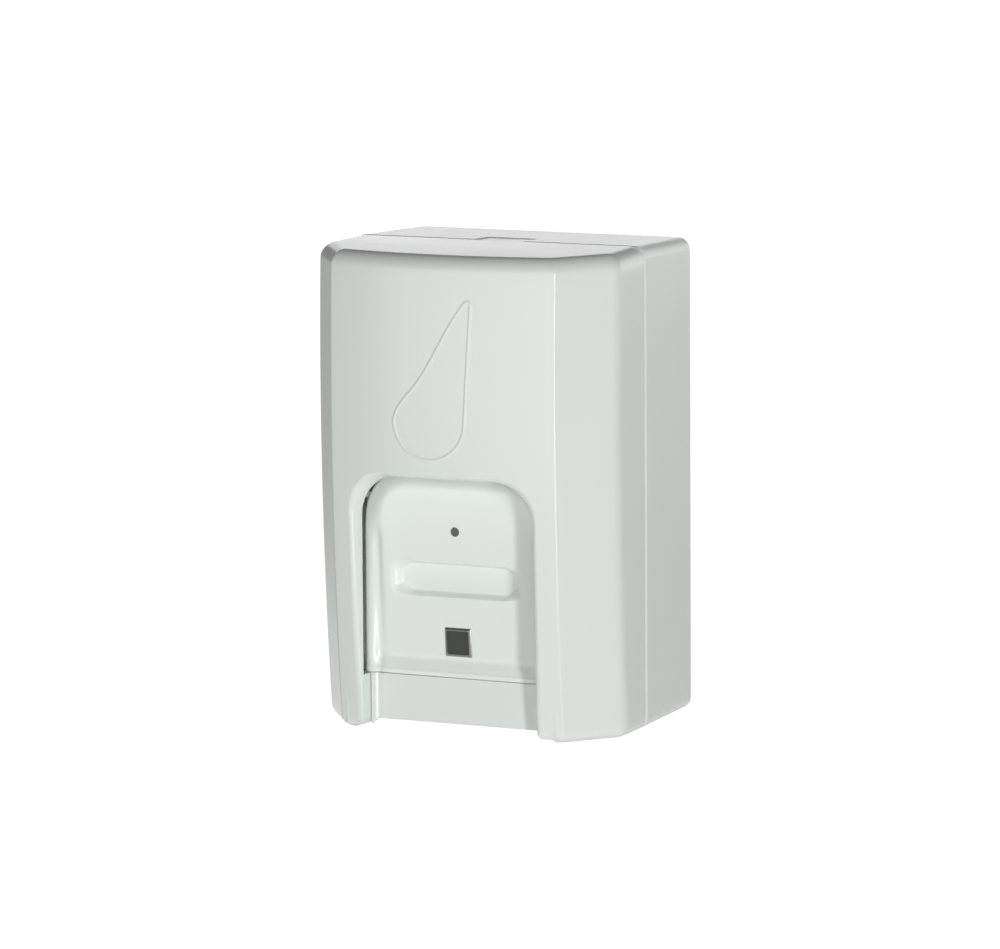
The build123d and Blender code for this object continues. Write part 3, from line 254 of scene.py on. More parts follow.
# Its front edge is bevelled at the joint, up one side, over the top and down the other.
edge_foot = -HALF_HEIGHT + BEVEL_FOOT
edge_line = [(Vector((SEAM_HALF, edge_foot)), Vector((1.0, 0.0)))]
for side, first in ((1, 0), (-1, 90)):
    corner = Vector((side * (SEAM_HALF - OUTLINE_ROUND), HALF_HEIGHT - OUTLINE_ROUND))
    for angle in range(first, first + 91, OUTLINE_TURN):
        way = Vector((math.cos(math.radians(angle)), math.sin(math.radians(angle))))
        edge_line.append((corner + way * OUTLINE_ROUND, way))
edge_line.append((Vector((-SEAM_HALF, edge_foot)), Vector((-1.0, 0.0))))
bevel_front = -SEAM_DEPTH - BEVEL_BEFORE
bevel_profile = (
    (BEVEL_PAST, JOINT_BEVEL - SEAM_DEPTH + BEVEL_PAST),
    (-JOINT_BEVEL - BEVEL_BEFORE, bevel_front),
    (BEVEL_PAST, bevel_front),
)
cut(housing, looped("joint_bevel", [
    [(p.x + way.x * out, y, p.y + way.y * out) for out, y in bevel_profile] for p, way in edge_line
]))
smooth(housing, housing_plastic, angle=16.0)
change(housing, "WEIGHTED_NORMAL", keep_sharp=True)
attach(housing, "base")
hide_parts("rear_housing")
dress("latch_button", housing_plastic)


# Front cover
# The bowed shell that swings down on pins at its foot, one injection moulding in glossy white plastic.
# Crowned in the middle, it has a ridge and a flat facet on each side and an arched window for the lever.
RIDGE_X = 53.4
RIDGE_DEPTH = 106.4
CROWN = 6.6
CORNER_X = 72.1
CORNER_DEPTH = 82.0
SEAM_GAP = 0.4
SIDE_FLARE = 0.055
BOW_RADIUS = 1414.0
BOW_APEX = 43.0
RIDGE_ROUND = 1.9
CORNER_ROUND = 9.0
TOP_ROUND = 7.0
TOP_FALL = 1.3
FALL_FROM = 80.0
FOOT_ROUND = 5.5
COVER_WALL = 2.6
CROWN_STEPS = 40
RIDGE_STEPS = 8
FACET_STEPS = 12
BEND_STEPS = 12
SIDE_STEPS = 12
FOOT_ROWS = 8
BODY_ROWS = 64
TOP_ROWS = 12
crown_radius = (RIDGE_X**2 + CROWN**2) / (2 * CROWN)
facet_run = Vector((CORNER_X - RIDGE_X, RIDGE_DEPTH - CORNER_DEPTH)).normalized()
facet_out = Vector((facet_run.y, -facet_run.x))
side_out = Vector((1.0, SIDE_FLARE)).normalized()


def even(first, last, steps):
    """Steps from first to last, without the last itself."""
    return [first + (last - first) * i / steps for i in range(steps)]


def bowed_depth(behind, z):
    """Distance from the wall of a point that is some way behind the ridges, at a height."""
    return math.sqrt((BOW_RADIUS - behind) ** 2 - (z - BOW_APEX) ** 2) - BOW_RADIUS + RIDGE_DEPTH


def crown_behind(x):
    """How far behind the ridges the crowned front is; the middle stands in front of them."""
    return crown_radius - CROWN - math.sqrt(crown_radius**2 - x**2)


def meet(out_a, far_a, out_b, far_b):
    """The point at given distances along two directions."""
    det = out_a.x * out_b.y - out_a.y * out_b.x
    return Vector(((far_a * out_b.y - far_b * out_a.y) / det, (out_a.x * far_b - out_b.x * far_a) / det))


def cover_half(z, inset, seam):
    """Right half of the cover's plan at a height, from the middle of the front to the joint."""
    radius = crown_radius - inset - RIDGE_ROUND
    centre = Vector((0.0, crown_radius - CROWN))
    facet_far = facet_out.dot(Vector((RIDGE_X, 0.0))) - inset
    start = facet_out * (facet_far - RIDGE_ROUND) - centre
    along = start.dot(facet_run)
    ridge = start + centre + facet_run * (-along - math.sqrt(along**2 - start.dot(start) + radius**2))
    crown_out = (ridge - centre).normalized()
    crown_end = math.asin(crown_out.x)
    points = []
    for angle in even(0.0, crown_end, CROWN_STEPS):
        points.append(centre + Vector((math.sin(angle), -math.cos(angle))) * (crown_radius - inset))
    facet_turn = math.atan2(facet_out.x, -facet_out.y)
    for angle in even(crown_end, facet_turn, RIDGE_STEPS):
        points.append(ridge + Vector((math.sin(angle), -math.cos(angle))) * RIDGE_ROUND)
    corner_round = CORNER_ROUND - inset
    level = bowed_depth(0.0, z)
    side_far = (SEAM_HALF + SIDE_FLARE * (level - SEAM_DEPTH)) * side_out.x - inset
    corner = meet(side_out, side_far - corner_round, facet_out, facet_far - corner_round)
    first = ridge + facet_out * RIDGE_ROUND
    last = corner + facet_out * corner_round
    points += [first.lerp(last, i / FACET_STEPS) for i in range(FACET_STEPS)]
    side_turn = math.atan2(side_out.x, -side_out.y)
    for angle in even(facet_turn, side_turn, BEND_STEPS):
        points.append(corner + Vector((math.sin(angle), -math.cos(angle))) * corner_round)
    first = corner + side_out * corner_round
    seam_x = SEAM_HALF - inset / side_out.x + SIDE_FLARE * (seam - SEAM_DEPTH)
    spots = [Vector((p.x, bowed_depth(p.y, z))) for p in points]
    near = Vector((first.x, bowed_depth(first.y, z)))
    end = Vector((seam_x, seam))
    spots += [near.lerp(end, i / SIDE_STEPS) for i in range(SIDE_STEPS + 1)]
    return spots


def cover_rows(inset):
    """Heights and insets of the cover's levels, from its feet over the body to its top."""
    rows = []
    for i in range(FOOT_ROWS + 1):
        turn = math.radians(90 * i / FOOT_ROWS)
        radius = FOOT_ROUND - inset
        rows.append((-HALF_HEIGHT + inset + radius * (1 - math.sin(turn)), radius * (1 - math.cos(turn))))
    rows.reverse()
    low = -HALF_HEIGHT + FOOT_ROUND
    high = HALF_HEIGHT - TOP_ROUND
    rows += [(low + (high - low) * i / BODY_ROWS, 0.0) for i in range(1, BODY_ROWS)]
    for i in range(TOP_ROWS + 1):
        turn = math.radians(90 * i / TOP_ROWS)
        radius = TOP_ROUND - inset
        rows.append((HALF_HEIGHT - inset - radius * (1 - math.sin(turn)), radius * (1 - math.cos(turn))))
    return rows


def solid_from(piece, columns, rows, edge=0.0):
    """Close a sheet into a solid: a face over its first and last rows, then one over what is open.

    The border of the last face is rounded where an edge radius is given.
    """
    for first in (0, (rows - 1) * columns):
        pick(piece, range(first, first + columns))
        bpy.ops.mesh.edge_face_add()
        bpy.ops.object.mode_set(mode="OBJECT")
    pick(piece, [])
    bpy.ops.mesh.select_non_manifold()
    bpy.ops.mesh.edge_face_add()
    if edge:
        bpy.ops.mesh.region_to_loop()
        bpy.ops.mesh.bevel(offset=edge * MM, segments=3, affect="EDGES")
    bpy.ops.mesh.select_all(action="SELECT")
    bpy.ops.mesh.normals_make_consistent(inside=False)
    bpy.ops.object.mode_set(mode="OBJECT")


def cover_solid(name, inset, seam, edge=0.0):
    """The cover's outer form, or the hollow in it when drawn in, as one closed solid.

    Its top falls a little from the joint to the front.
    """
    rows = []
    for z, rounding in cover_rows(inset):
        half = cover_half(z, inset + rounding, seam)
        share = max(0.0, (z - FALL_FROM) / (HALF_HEIGHT - FALL_FROM))
        slope = TOP_FALL * share / (RIDGE_DEPTH - SEAM_DEPTH)
        right = [(p.x, -p.y, z - slope * (p.y - SEAM_DEPTH)) for p in half]
        left = [(-x, y, height) for x, y, height in reversed(right[1:])]
        rows.append(left + right)
    piece = sheet(name, rows)
    solid_from(piece, len(rows[0]), len(rows), edge)
    return piece


def arch(half, top, radius, sides, corners, tops):
    """Points and outward directions of an arch, up its left side, over the top and down its right."""
    spots = []
    low = top - radius
    for z in sides:
        spots.append((Vector((-half, z)), Vector((-1.0, 0.0))))
    for angle in even(180.0, 90.0, corners):
        way = Vector((math.cos(math.radians(angle)), math.sin(math.radians(angle))))
        spots.append((Vector((-half + radius, low)) + way * radius, way))
    for x in even(-half + radius, half - radius, tops):
        spots.append((Vector((x, top)), Vector((0.0, 1.0))))
    mirrored = [(Vector((-p.x, p.y)), Vector((-n.x, n.y))) for p, n in spots[: len(sides) + corners + 1]]
    spots += reversed(mirrored)
    return spots


def rod(start, end, radius):
    """A round bar between two places in millimetres."""
    axis = Vector(end) - Vector(start)
    bpy.ops.object.select_all(action="DESELECT")
    bpy.ops.mesh.primitive_cylinder_add(
        vertices=48, radius=radius * MM, depth=axis.length * MM,
        location=(Vector(start) + axis / 2) * MM, rotation=axis.to_track_quat("Z", "Y").to_euler())
    bpy.ops.object.transform_apply(location=True, rotation=True, scale=True)
    return bpy.context.object


def crossbar(low, high, axis, radius):
    """A round bar from side to side, about an axis given by its depth and its height."""
    return rod((low, *axis), (high, *axis), radius)


def block(low, high):
    """A box between two corners in millimetres."""
    size = (Vector(high) - Vector(low)) * MM
    bpy.ops.object.select_all(action="DESELECT")
    bpy.ops.mesh.primitive_cube_add(size=1.0, location=(Vector(low) + Vector(high)) * MM / 2)
    bpy.context.object.scale = size
    bpy.ops.object.transform_apply(location=True, rotation=True, scale=True)
    return bpy.context.object


WINDOW_HALF = 41.7
WINDOW_TOP = 7.0
WINDOW_ROUND = 17.8
WINDOW_LEVELS = 44
WINDOW_STEPS = 24
BORDER_SIDE = 3.4
BORDER_TOP = 2.8
BORDER_DEPTH = 101.3
BORDER_LEAST = 1.5
LIP = 0.3
SLEEVE_OUT = 6.5
SLEEVE_WALL = 2.4
SLEEVE_BACK = 84.0
WALL_TOP = -81.0
WALL_FOOT = -103.2
WALL_MIDDLE = -95.0
WALL_SINK = 0.05
WALL_LAP = 0.4
HOLLOW_PAST = 2.0
CUTTER_PAST = 4.0
BORDER_TURN = 84.0
BORDER_STEPS = 12
BELOW_ALL = -116.0
BEFORE_ALL = 128.0
JOINT_EDGE = 0.45
PIVOT_Y = -89.5
PIVOT_Z = -4.0
PIVOT = (PIVOT_Y, PIVOT_Z)
PIVOT_ROOM = 4.2
HINGE_Y = -52.5
HINGE_Z = -102.6
HINGE = (HINGE_Y, HINGE_Z)
HINGE_X = 56.0
HINGE_ROOM = 11.0
KNUCKLE = 2.4
KNUCKLE_HALF = 4.0
KNUCKLE_ROOM = 0.5
LEAF_REACH = 6.0
LEAF_LOW = 0.4
SWING_BEVEL = 4.0
SWING_PAST = 2.0
LEG_ROUND = 5.5
LEG_STEPS = 16
LEG_PAST = 1.0
LEG_BACK = 10.0
window_sides = even(BELOW_ALL, WINDOW_TOP - WINDOW_ROUND, WINDOW_LEVELS)
window = arch(WINDOW_HALF, WINDOW_TOP, WINDOW_ROUND, window_sides, WINDOW_STEPS, WINDOW_STEPS)


def window_row(out, depth):
    """One ring round the window: pushed out, at one distance from the wall."""
    return [(p.x + way.x * out, -depth, p.y + way.y * out) for p, way in window]


def border_inner(spot):
    """Distance from the wall of the rolled border's inner end at a place on the window's line."""
    return min(BORDER_DEPTH, bowed_depth(crown_behind(spot.x), spot.y) - BORDER_LEAST)


def border_row(turn):
    """One ring of the window's rolled border, from its straight inner end to the cover's front."""
    row = []
    for spot, way in window:
        p = spot + way * (BORDER_SIDE * abs(way.x) + BORDER_TOP * abs(way.y)) * (1 - math.cos(turn))
        inner = border_inner(spot)
        front = bowed_depth(crown_behind(p.x), p.y)
        row.append((p.x, -inner - (front - inner) * math.sin(turn), p.y))
    return row


def lip_row(out):
    """One ring just behind the border's inner end, pushed out."""
    return [(p.x + way.x * out, LIP - border_inner(p), p.y + way.y * out) for p, way in window]


def window_tool(name, rows):
    """A closed cutter or block from rings round the window."""
    piece = sheet(name, rows)
    solid_from(piece, len(rows[0]), len(rows))
    return piece


cover_body = cover_solid("front_cover_shell", 0.0, SEAM_DEPTH + SEAM_GAP, JOINT_EDGE)
hollow = cover_solid("cover_hollow", COVER_WALL, SEAM_DEPTH - HOLLOW_PAST)
sleeve_far = SLEEVE_OUT + SLEEVE_WALL
sleeve = window_tool("window_sleeve", [window_row(sleeve_far, depth) for depth in (SLEEVE_BACK, BEFORE_ALL)])
border_last = math.radians(BORDER_TURN)
window_cutter = window_tool("window_cutter", [
    window_row(SLEEVE_OUT, SEAM_DEPTH - CUTTER_PAST),
    lip_row(SLEEVE_OUT),
    lip_row(0.0),
    *[border_row(border_last * i / BORDER_STEPS) for i in range(BORDER_STEPS + 1)],
    window_row(BORDER_SIDE, BEFORE_ALL),
])
cut(hollow, sleeve)
cut(cover_body, hollow)
cut(cover_body, window_cutter)

# A wall on each side of the window, below the lever, holds the apron.
wall_heights = (WALL_TOP, WALL_MIDDLE, WALL_FOOT)
wall_fronts = [(WALL_SINK - border_inner(Vector((WINDOW_HALF, z))), z) for z in wall_heights]
wall_back = -SLEEVE_BACK - WALL_LAP
wall_outline = [(wall_back, WALL_TOP), *wall_fronts, (wall_back, WALL_FOOT)]
for side in (-1, 1):
    reach = (side * WINDOW_HALF, side * (WINDOW_HALF + sleeve_far - WALL_LAP))
    cut(cover_body, looped("apron_wall", [[(x, y, z) for y, z in wall_outline] for x in reach]), "UNION")

# The inner corner of each leg is rounded at its foot.
leg = Vector((WINDOW_HALF + LEG_ROUND, LEG_ROUND - HALF_HEIGHT))
leg_side = WINDOW_HALF - LEG_PAST
leg_foot = -HALF_HEIGHT - LEG_PAST
leg_outline = [(leg_side, leg.y), (leg_side, leg_foot), (leg.x, leg_foot)]
for angle in even(-90.0, -180.0, LEG_STEPS) + [-180.0]:
    turn = math.radians(angle)
    leg_outline.append((leg.x + LEG_ROUND * math.cos(turn), leg.y + LEG_ROUND * math.sin(turn)))
leg_depths = (SEAM_DEPTH + LEG_BACK, BEFORE_ALL)
for side in (-1, 1):
    cut(cover_body, looped("leg_corner", [[(side * x, -y, z) for x, z in leg_outline] for y in leg_depths]))

# The foot is bevelled under the hinge, so that it clears the housing as the cover swings.
foot_back = HINGE_Y + SWING_PAST
foot_low = HINGE_Z - SWING_BEVEL
foot = [(foot_back, HINGE_Z), (HINGE_Y, HINGE_Z), (HINGE_Y - SWING_BEVEL, foot_low), (foot_back, foot_low)]
cut(cover_body, looped("foot_bevel", [[(x, y, z) for y, z in foot] for x in (-CORNER_X, CORNER_X)]))
cut(cover_body, crossbar(-RIDGE_X, RIDGE_X, PIVOT, PIVOT_ROOM))
for middle in (-HINGE_X, HINGE_X):
    low = middle - KNUCKLE_HALF
    high = middle + KNUCKLE_HALF
    cut(cover_body, crossbar(middle - HINGE_ROOM, middle + HINGE_ROOM, HINGE, KNUCKLE + KNUCKLE_ROOM))
    leaf = block((low, HINGE_Y - LEAF_REACH, HINGE_Z - LEAF_LOW), (high, HINGE_Y, HINGE_Z + KNUCKLE))
    cut(cover_body, leaf, "UNION")
    cut(cover_body, crossbar(low, high, HINGE, KNUCKLE), "UNION")
cover_plastic = moulded_plastic("cover_white_plastic", WHITE, roughness=0.2)
smooth(cover_body, cover_plastic)
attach(cover_body, "cover")
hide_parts("front_cover")


# Drop
# A low bead in the cover's plastic, moulded on its crowned front and sunk a little into it.
# It runs round a bulb and a leaning tip, and is drawn in on the left between the two.
DROP_BULB = Vector((-3.2, 33.0))
DROP_RADIUS = 17.0
DROP_TIP = Vector((15.2, 83.0))
TIP_RADIUS = 1.6
NECK = 3.9
NECK_LEAN = 0.68
BEAD_HALF = 1.2
BEAD_HEIGHT = 0.36
BEAD_SINK = 0.8
BEAD_RIM = 0.02
BULB_STEPS = 72
TIP_STEPS = 12
FLANK_STEPS = 30
BEAD_STEPS = 12


def front_spot(x, z, out):
    """A place on the crowned front, or some way out from it."""
    radius = crown_radius + out
    behind = crown_radius - CROWN - math.sqrt(radius**2 - x**2)
    return (x, -bowed_depth(behind, z), z)


def necked(spot, way):
    """A place on the drop's outline, drawn in on its left side."""
    rise = (spot.y - DROP_BULB.y) / (DROP_TIP.y - DROP_BULB.y)
    if way.x > 0 or not 0 < rise < 1:
        return spot
    return spot + Vector((NECK * math.sin(math.pi * rise**NECK_LEAN) ** 2, 0.0))


lean = DROP_TIP - DROP_BULB
lean_turn = math.atan2(lean.y, lean.x)
half_turn = math.acos((DROP_RADIUS - TIP_RADIUS) / lean.length)
drop_line = []
bulb_turns = (lean_turn + half_turn, lean_turn + 2 * math.pi - half_turn)
tip_turns = (lean_turn - half_turn, lean_turn + half_turn)
for centre, radius, (first, last), steps, other, other_radius in (
    (DROP_BULB, DROP_RADIUS, bulb_turns, BULB_STEPS, DROP_TIP, TIP_RADIUS),
    (DROP_TIP, TIP_RADIUS, tip_turns, TIP_STEPS, DROP_BULB, DROP_RADIUS),
):
    for turn in even(first, last, steps) + [last]:
        way = Vector((math.cos(turn), math.sin(turn)))
        drop_line.append((centre + way * radius, way))
    start, way = drop_line[-1]
    end = other + way * other_radius
    drop_line += [(start.lerp(end, i / FLANK_STEPS), way) for i in range(1, FLANK_STEPS)]
drop_line = [(necked(spot, way), way) for spot, way in drop_line]
bead_profile = [(-BEAD_HALF, -BEAD_SINK)]
for i in range(BEAD_STEPS + 1):
    share = 2 * i / BEAD_STEPS - 1
    swell = 0.5 + 0.5 * math.cos(math.pi * share)
    bead_profile.append((BEAD_HALF * share, BEAD_HEIGHT * swell - BEAD_RIM))
bead_profile += [(BEAD_HALF, -BEAD_SINK), (-BEAD_HALF, -BEAD_SINK)]
drop = looped("cover_drop", [
    [front_spot(*(spot + way * across), out) for spot, way in drop_line] for across, out in bead_profile
])
smooth(drop, cover_plastic, angle=50.0)
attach(drop, "cover")
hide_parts("front_cover")


# Lower apron
# The fixed panel between the cover's feet, almost flat, with a shallow step along each side.
# A separate moulding in the cover's plastic, screwed through the window's side walls.
APRON_ROOM = 0.35
APRON_HALF = WINDOW_HALF - APRON_ROOM
APRON_TOP = -80.9
APRON_BOTTOM = -101.0
APRON_FOOT = 2.6
APRON_FRONT = 93.7
APRON_STEP = 0.9
APRON_STEP_X = 38.9
APRON_STEP_RUN = 1.6
APRON_GROOVE = 0.35
APRON_GROOVE_IN = 0.8
APRON_GROOVE_WIDTH = 1.2
APRON_FOOT_X = 37.5
APRON_FOOT_RUN = 4.2
APRON_EDGE = 0.6
APRON_LEVELS = 24
HALF_COLUMNS = 90
EDGE_STEPS = 6
PANEL = 1.6


def eased(value):
    """Smooth step from 0 to 1."""
    value = min(1.0, max(0.0, value))
    return value * value * (3 - 2 * value)


def rounded_back(distance, radius):
    """How far a rounded edge lies back at a distance from it."""
    return radius - math.sqrt(radius**2 - (radius - min(radius, distance)) ** 2)


def edge_steps(radius):
    """Distances from an edge that follow its rounding."""
    return [radius * (1 - math.cos(math.radians(90 * i / EDGE_STEPS))) for i in range(EDGE_STEPS)]


apron_height = APRON_TOP - APRON_BOTTOM
apron_ups = edge_steps(APRON_EDGE) + even(APRON_EDGE, apron_height, APRON_LEVELS) + [apron_height]
apron_rows = []
for up in apron_ups:
    row = []
    for i in range(2 * HALF_COLUMNS + 1):
        x = APRON_HALF * (i / HALF_COLUMNS - 1)
        outer = eased((abs(x) - APRON_STEP_X) / APRON_STEP_RUN + 0.5)
        from_groove = (abs(x) - APRON_STEP_X + APRON_GROOVE_IN) / APRON_GROOVE_WIDTH
        groove = APRON_GROOVE * math.exp(-(from_groove**2))
        lower = APRON_FOOT * eased((abs(x) - APRON_FOOT_X) / APRON_FOOT_RUN) * (1 - up / apron_height)
        depth = APRON_FRONT + APRON_STEP * outer - groove - rounded_back(up, APRON_EDGE)
        row.append((x, -depth, APRON_BOTTOM - lower + up))
    apron_rows.append(row)
apron = sheet("lower_apron_panel", apron_rows)
change(apron, "SOLIDIFY", thickness=PANEL * MM, offset=-1.0, use_even_offset=True)
smooth(apron, cover_plastic, angle=40.0)
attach(apron, "cover")
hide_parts("lower_apron")


# Push lever
# The dished panel that fills the window and turns about a pin behind its top. One white plastic moulding:
# a rolled rim, a sloping wall, a floor with the finger recess, and the pin's ears and the pad's boss behind.
LEVER_HALF = 44.0
LEVER_TOP = 9.0
LEVER_CORNER = 20.5
LEVER_BOTTOM = -80.75
LEVER_FLOOR = 10.1
LEVER_EDGE = 1.5
LEVER_SKIRT = 90.0
RIM_DEPTH = 94.8
RIM_FALL = 1.3
RIM_FALL_Z = -20.0
RIM_FALL_RUN = 17.0
RIM_WIDTH = 12.0
SLOPE_IN = 1.2
SLOPE_RUN = 8.3
GROOVE = 1.1
GROOVE_IN = 6.0
GROOVE_WIDTH = 2.0
GROOVE_Z = -14.0
GROOVE_RUN = 10.0
FOOT_EDGE = 0.4
FOOT_RISE = 2.7
FOOT_RISE_Z = -71.6
FOOT_RISE_RUN = 8.0
BEAD_Z = -79.2
BEAD_RISE = 0.45
BEAD_WIDTH = 0.8
RECESS_MIDDLE = -38.2
RECESS_HALF = 32.6
RECESS_HALF_HEIGHT = 7.6
RECESS_CORNER = 5.0
RECESS_SLOPE = 1.7
RECESS_END_SLOPE = 7.4
RECESS_END_X = 22.0
RECESS_END_RUN = 8.0
RECESS_DEPTH = 4.0
SIGHT_Z = -16.9
SIGHT_RADIUS = 2.1
SIGHT_BEFORE = 3.0
SIGHT_BEHIND = 6.0
EAR_RADIUS = 4.5
EAR_X = (28.0, 34.0)
EAR_FRONT = 5.3
EAR_DROP = 4.0
PIVOT_RADIUS = 2.0
PIN_ROOM = 0.05
PIN_PAST = 1.0
BOSS_Z = -62.0
BOSS_RADIUS = 7.0
BOSS_BACK = -85.8
BOSS_LAP = 0.8
SIDE_LEVELS = 140
RIM_STEPS = 28
CORNER_STEPS = 40
TOP_STEPS = 112
# The lever's white is the cover's white made about 8 % lighter: painted light, standing in for light that
# the lamps give the recessed lever too little of.
LEVER_WHITE_PAINTED_LIGHTER = (0.85, 0.896, 0.86)


def recess(x, z):
    """Depth of the finger recess at a place on the lever: round cornered, with long slopes at its ends."""
    past_x = abs(x) - RECESS_HALF + RECESS_CORNER
    past_z = abs(z - RECESS_MIDDLE) - RECESS_HALF_HEIGHT + RECESS_CORNER
    to_corner = math.hypot(max(past_x, 0.0), max(past_z, 0.0))
    inside = RECESS_CORNER - to_corner - min(max(past_x, past_z), 0.0)
    end_share = eased((abs(x) - RECESS_END_X) / RECESS_END_RUN)
    slope = RECESS_SLOPE + (RECESS_END_SLOPE - RECESS_SLOPE) * end_share
    return RECESS_DEPTH * eased(inside / slope)


def lever_depth(x, z, inward):
    """Distance from the wall of the lever's face: rolled rim, groove inside it, floor, recess and foot."""
    rim = RIM_DEPTH - RIM_FALL * eased((z - RIM_FALL_Z) / RIM_FALL_RUN)
    floor_depth = bowed_depth(LEVER_FLOOR, z) + FOOT_RISE * eased((FOOT_RISE_Z - z) / FOOT_RISE_RUN)
    bead = BEAD_RISE * math.exp(-(((z - BEAD_Z) / BEAD_WIDTH) ** 2))
    groove_share = eased((GROOVE_Z - z) / GROOVE_RUN)
    groove = GROOVE * math.exp(-(((inward - GROOVE_IN) / GROOVE_WIDTH) ** 2)) * groove_share
    wall_share = eased((inward - SLOPE_IN) / SLOPE_RUN)
    level = rim + (floor_depth - rim) * wall_share + bead - groove - recess(x, z)
    return level - rounded_back(inward, LEVER_EDGE) - rounded_back(z - LEVER_BOTTOM, FOOT_EDGE)


def joined(first, second):
    """Make one piece of two without cutting either."""
    bpy.ops.object.select_all(action="DESELECT")
    second.select_set(True)
    first.select_set(True)
    bpy.context.view_layer.objects.active = first
    bpy.ops.object.join()


lever_low = LEVER_TOP - LEVER_CORNER
lever_sides = [LEVER_BOTTOM + up for up in edge_steps(FOOT_EDGE)]
lever_sides += even(LEVER_BOTTOM + FOOT_EDGE, lever_low, SIDE_LEVELS)
lever_edge = arch(LEVER_HALF, LEVER_TOP, LEVER_CORNER, lever_sides, CORNER_STEPS, TOP_STEPS)
inward_steps = edge_steps(LEVER_EDGE) + even(LEVER_EDGE, RIM_WIDTH, RIM_STEPS) + [RIM_WIDTH]
rows = [[(*spot, LEVER_SKIRT) for spot, way in lever_edge]]
for inward in inward_steps:
    places = [spot - way * inward for spot, way in lever_edge]
    rows.append([(*p, lever_depth(*p, inward)) for p in places])
lever = sheet("push_lever_panel", [[(x, -depth, z) for x, z, depth in row] for row in reversed(rows)])

# The floor inside the rim is laid in level rows between the rim's two sides.
rows = []
for spot, way in lever_edge[: len(lever_sides) + CORNER_STEPS + 1]:
    left = spot - way * RIM_WIDTH
    spread = [left.x * (1 - 2 * i / TOP_STEPS) for i in range(TOP_STEPS + 1)]
    rows.append([(x, -lever_depth(x, left.y, RIM_WIDTH), left.y) for x in spread])
joined(lever, sheet("lever_floor", rows))
merge(lever)
change(lever, "SOLIDIFY", thickness=PANEL * MM, offset=-1.0)

# The sight window's hole goes through the floor. Behind it are the ears for the pin and the pad's boss.
sight_y = -bowed_depth(LEVER_FLOOR, SIGHT_Z)
sight_ends = (sight_y - SIGHT_BEFORE, sight_y + SIGHT_BEHIND)
cut(lever, rod(*[(0.0, y, SIGHT_Z) for y in sight_ends], SIGHT_RADIUS))
for side in (-1, 1):
    low, high = sorted(side * x for x in EAR_X)
    ear = block((low, PIVOT_Y - EAR_FRONT, PIVOT_Z - EAR_DROP), (high, PIVOT_Y, PIVOT_Z))
    cut(ear, crossbar(low, high, PIVOT, EAR_RADIUS), "UNION")
    cut(ear, crossbar(low - PIN_PAST, high + PIN_PAST, PIVOT, PIVOT_RADIUS + PIN_ROOM))
    cut(lever, ear, "UNION")
boss_front = -bowed_depth(LEVER_FLOOR + BOSS_LAP, BOSS_Z)
cut(lever, rod((0.0, boss_front, BOSS_Z), (0.0, BOSS_BACK, BOSS_Z), BOSS_RADIUS), "UNION")
# The lever's plastic takes that white, painted lighter than the cover's for the light it lacks in its
# recess.
lever_plastic_painted_lighter = moulded_plastic("lever_white_plastic_painted_lighter", LEVER_WHITE_PAINTED_LIGHTER, roughness=0.2)
smooth(lever, lever_plastic_painted_lighter, angle=40.0)
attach(lever, "lever")
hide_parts("push_lever")


# Sight window
# A small round window near the lever's top, moulded in dark tinted plastic and pressed in from behind.
SIGHT_GREY = (0.10, 0.115, 0.105)
dress("sight_window", moulded_plastic("sight_tinted_plastic", SIGHT_GREY, roughness=0.35))


# Badge
# A square plated frame with sloping faces and a bare plate of dark plastic in it.
# Both are glued into a seat in the lever's floor.
BADGE_Z = -65.4
BADGE_HALF = 6.35
BADGE_INNER = 5.15
BADGE_CORNER = 0.5
BADGE_CORNER_STEPS = 6
BADGE_PLATING = (0.34, 0.35, 0.34)
BADGE_DARK = (0.05, 0.057, 0.05)
METAL_TONES = (0.94, 1.03)
METAL_GLOSS = 0.08
badge_outside = [(BADGE_HALF, -0.9), (BADGE_HALF, 0.1), (6.2, 0.25), (5.5, 0.76)]
badge_inside = [(5.35, 0.8), (5.22, 0.74), (BADGE_INNER, 0.55), (BADGE_INNER, 0.3)]
badge_slope = math.asin((BOW_APEX - BADGE_Z) / BOW_RADIUS)
badge_out = Vector((0.0, -math.cos(badge_slope), -math.sin(badge_slope)))
badge_up = Vector((0.0, -math.sin(badge_slope), math.cos(badge_slope)))
badge_middle = Vector((0.0, -bowed_depth(LEVER_FLOOR, BADGE_Z), BADGE_Z))


def square_loop(half, out):
    """A square with rounded corners in the badge's plane, some way out of the lever's floor."""
    loop = []
    for corner in range(4):
        middle_turn = math.radians(90 * corner + 45)
        core = (half - BADGE_CORNER) * math.sqrt(2.0)
        for i in range(BADGE_CORNER_STEPS + 1):
            turn = math.radians(90 * corner + 90 * i / BADGE_CORNER_STEPS)
            x = core * math.cos(middle_turn) + BADGE_CORNER * math.cos(turn)
            rise = core * math.sin(middle_turn) + BADGE_CORNER * math.sin(turn)
            loop.append(badge_middle + Vector((x, 0.0, 0.0)) + badge_up * rise + badge_out * out)
    return loop


def bright_metal(name, colour, roughness):
    """Plated or drawn metal: fine streaks in its gloss and faint specks."""
    material = bpy.data.materials.new(name)
    material.use_nodes = True
    shader = material.node_tree.nodes["Principled BSDF"]
    shader.inputs["Metallic"].default_value = 1.0
    shade = Shade(material.node_tree)
    place = shade.add("TexCoord", output="Object")
    streaks = shade.add("TexNoise", links={"Vector": place, "Scale": 900.0, "Detail": 3.0})
    clouds = shade.add("TexNoise", links={"Vector": place, "Scale": 90.0, "Detail": 2.0})
    clouds.blend(*[scaled(colour, factor) for factor in METAL_TONES]).into(shader, "Base Color")
    (roughness - METAL_GLOSS / 2 + streaks * METAL_GLOSS).into(shader, "Roughness")
    return material


badge = looped("badge_frame_square", [square_loop(*spot) for spot in badge_outside + badge_inside])
smooth(badge, bright_metal("badge_plated", BADGE_PLATING, roughness=0.3), angle=25.0)
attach(badge, "lever")
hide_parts("badge_frame")
dress("badge_plate", moulded_plastic("badge_dark_plastic", BADGE_DARK, roughness=0.3))


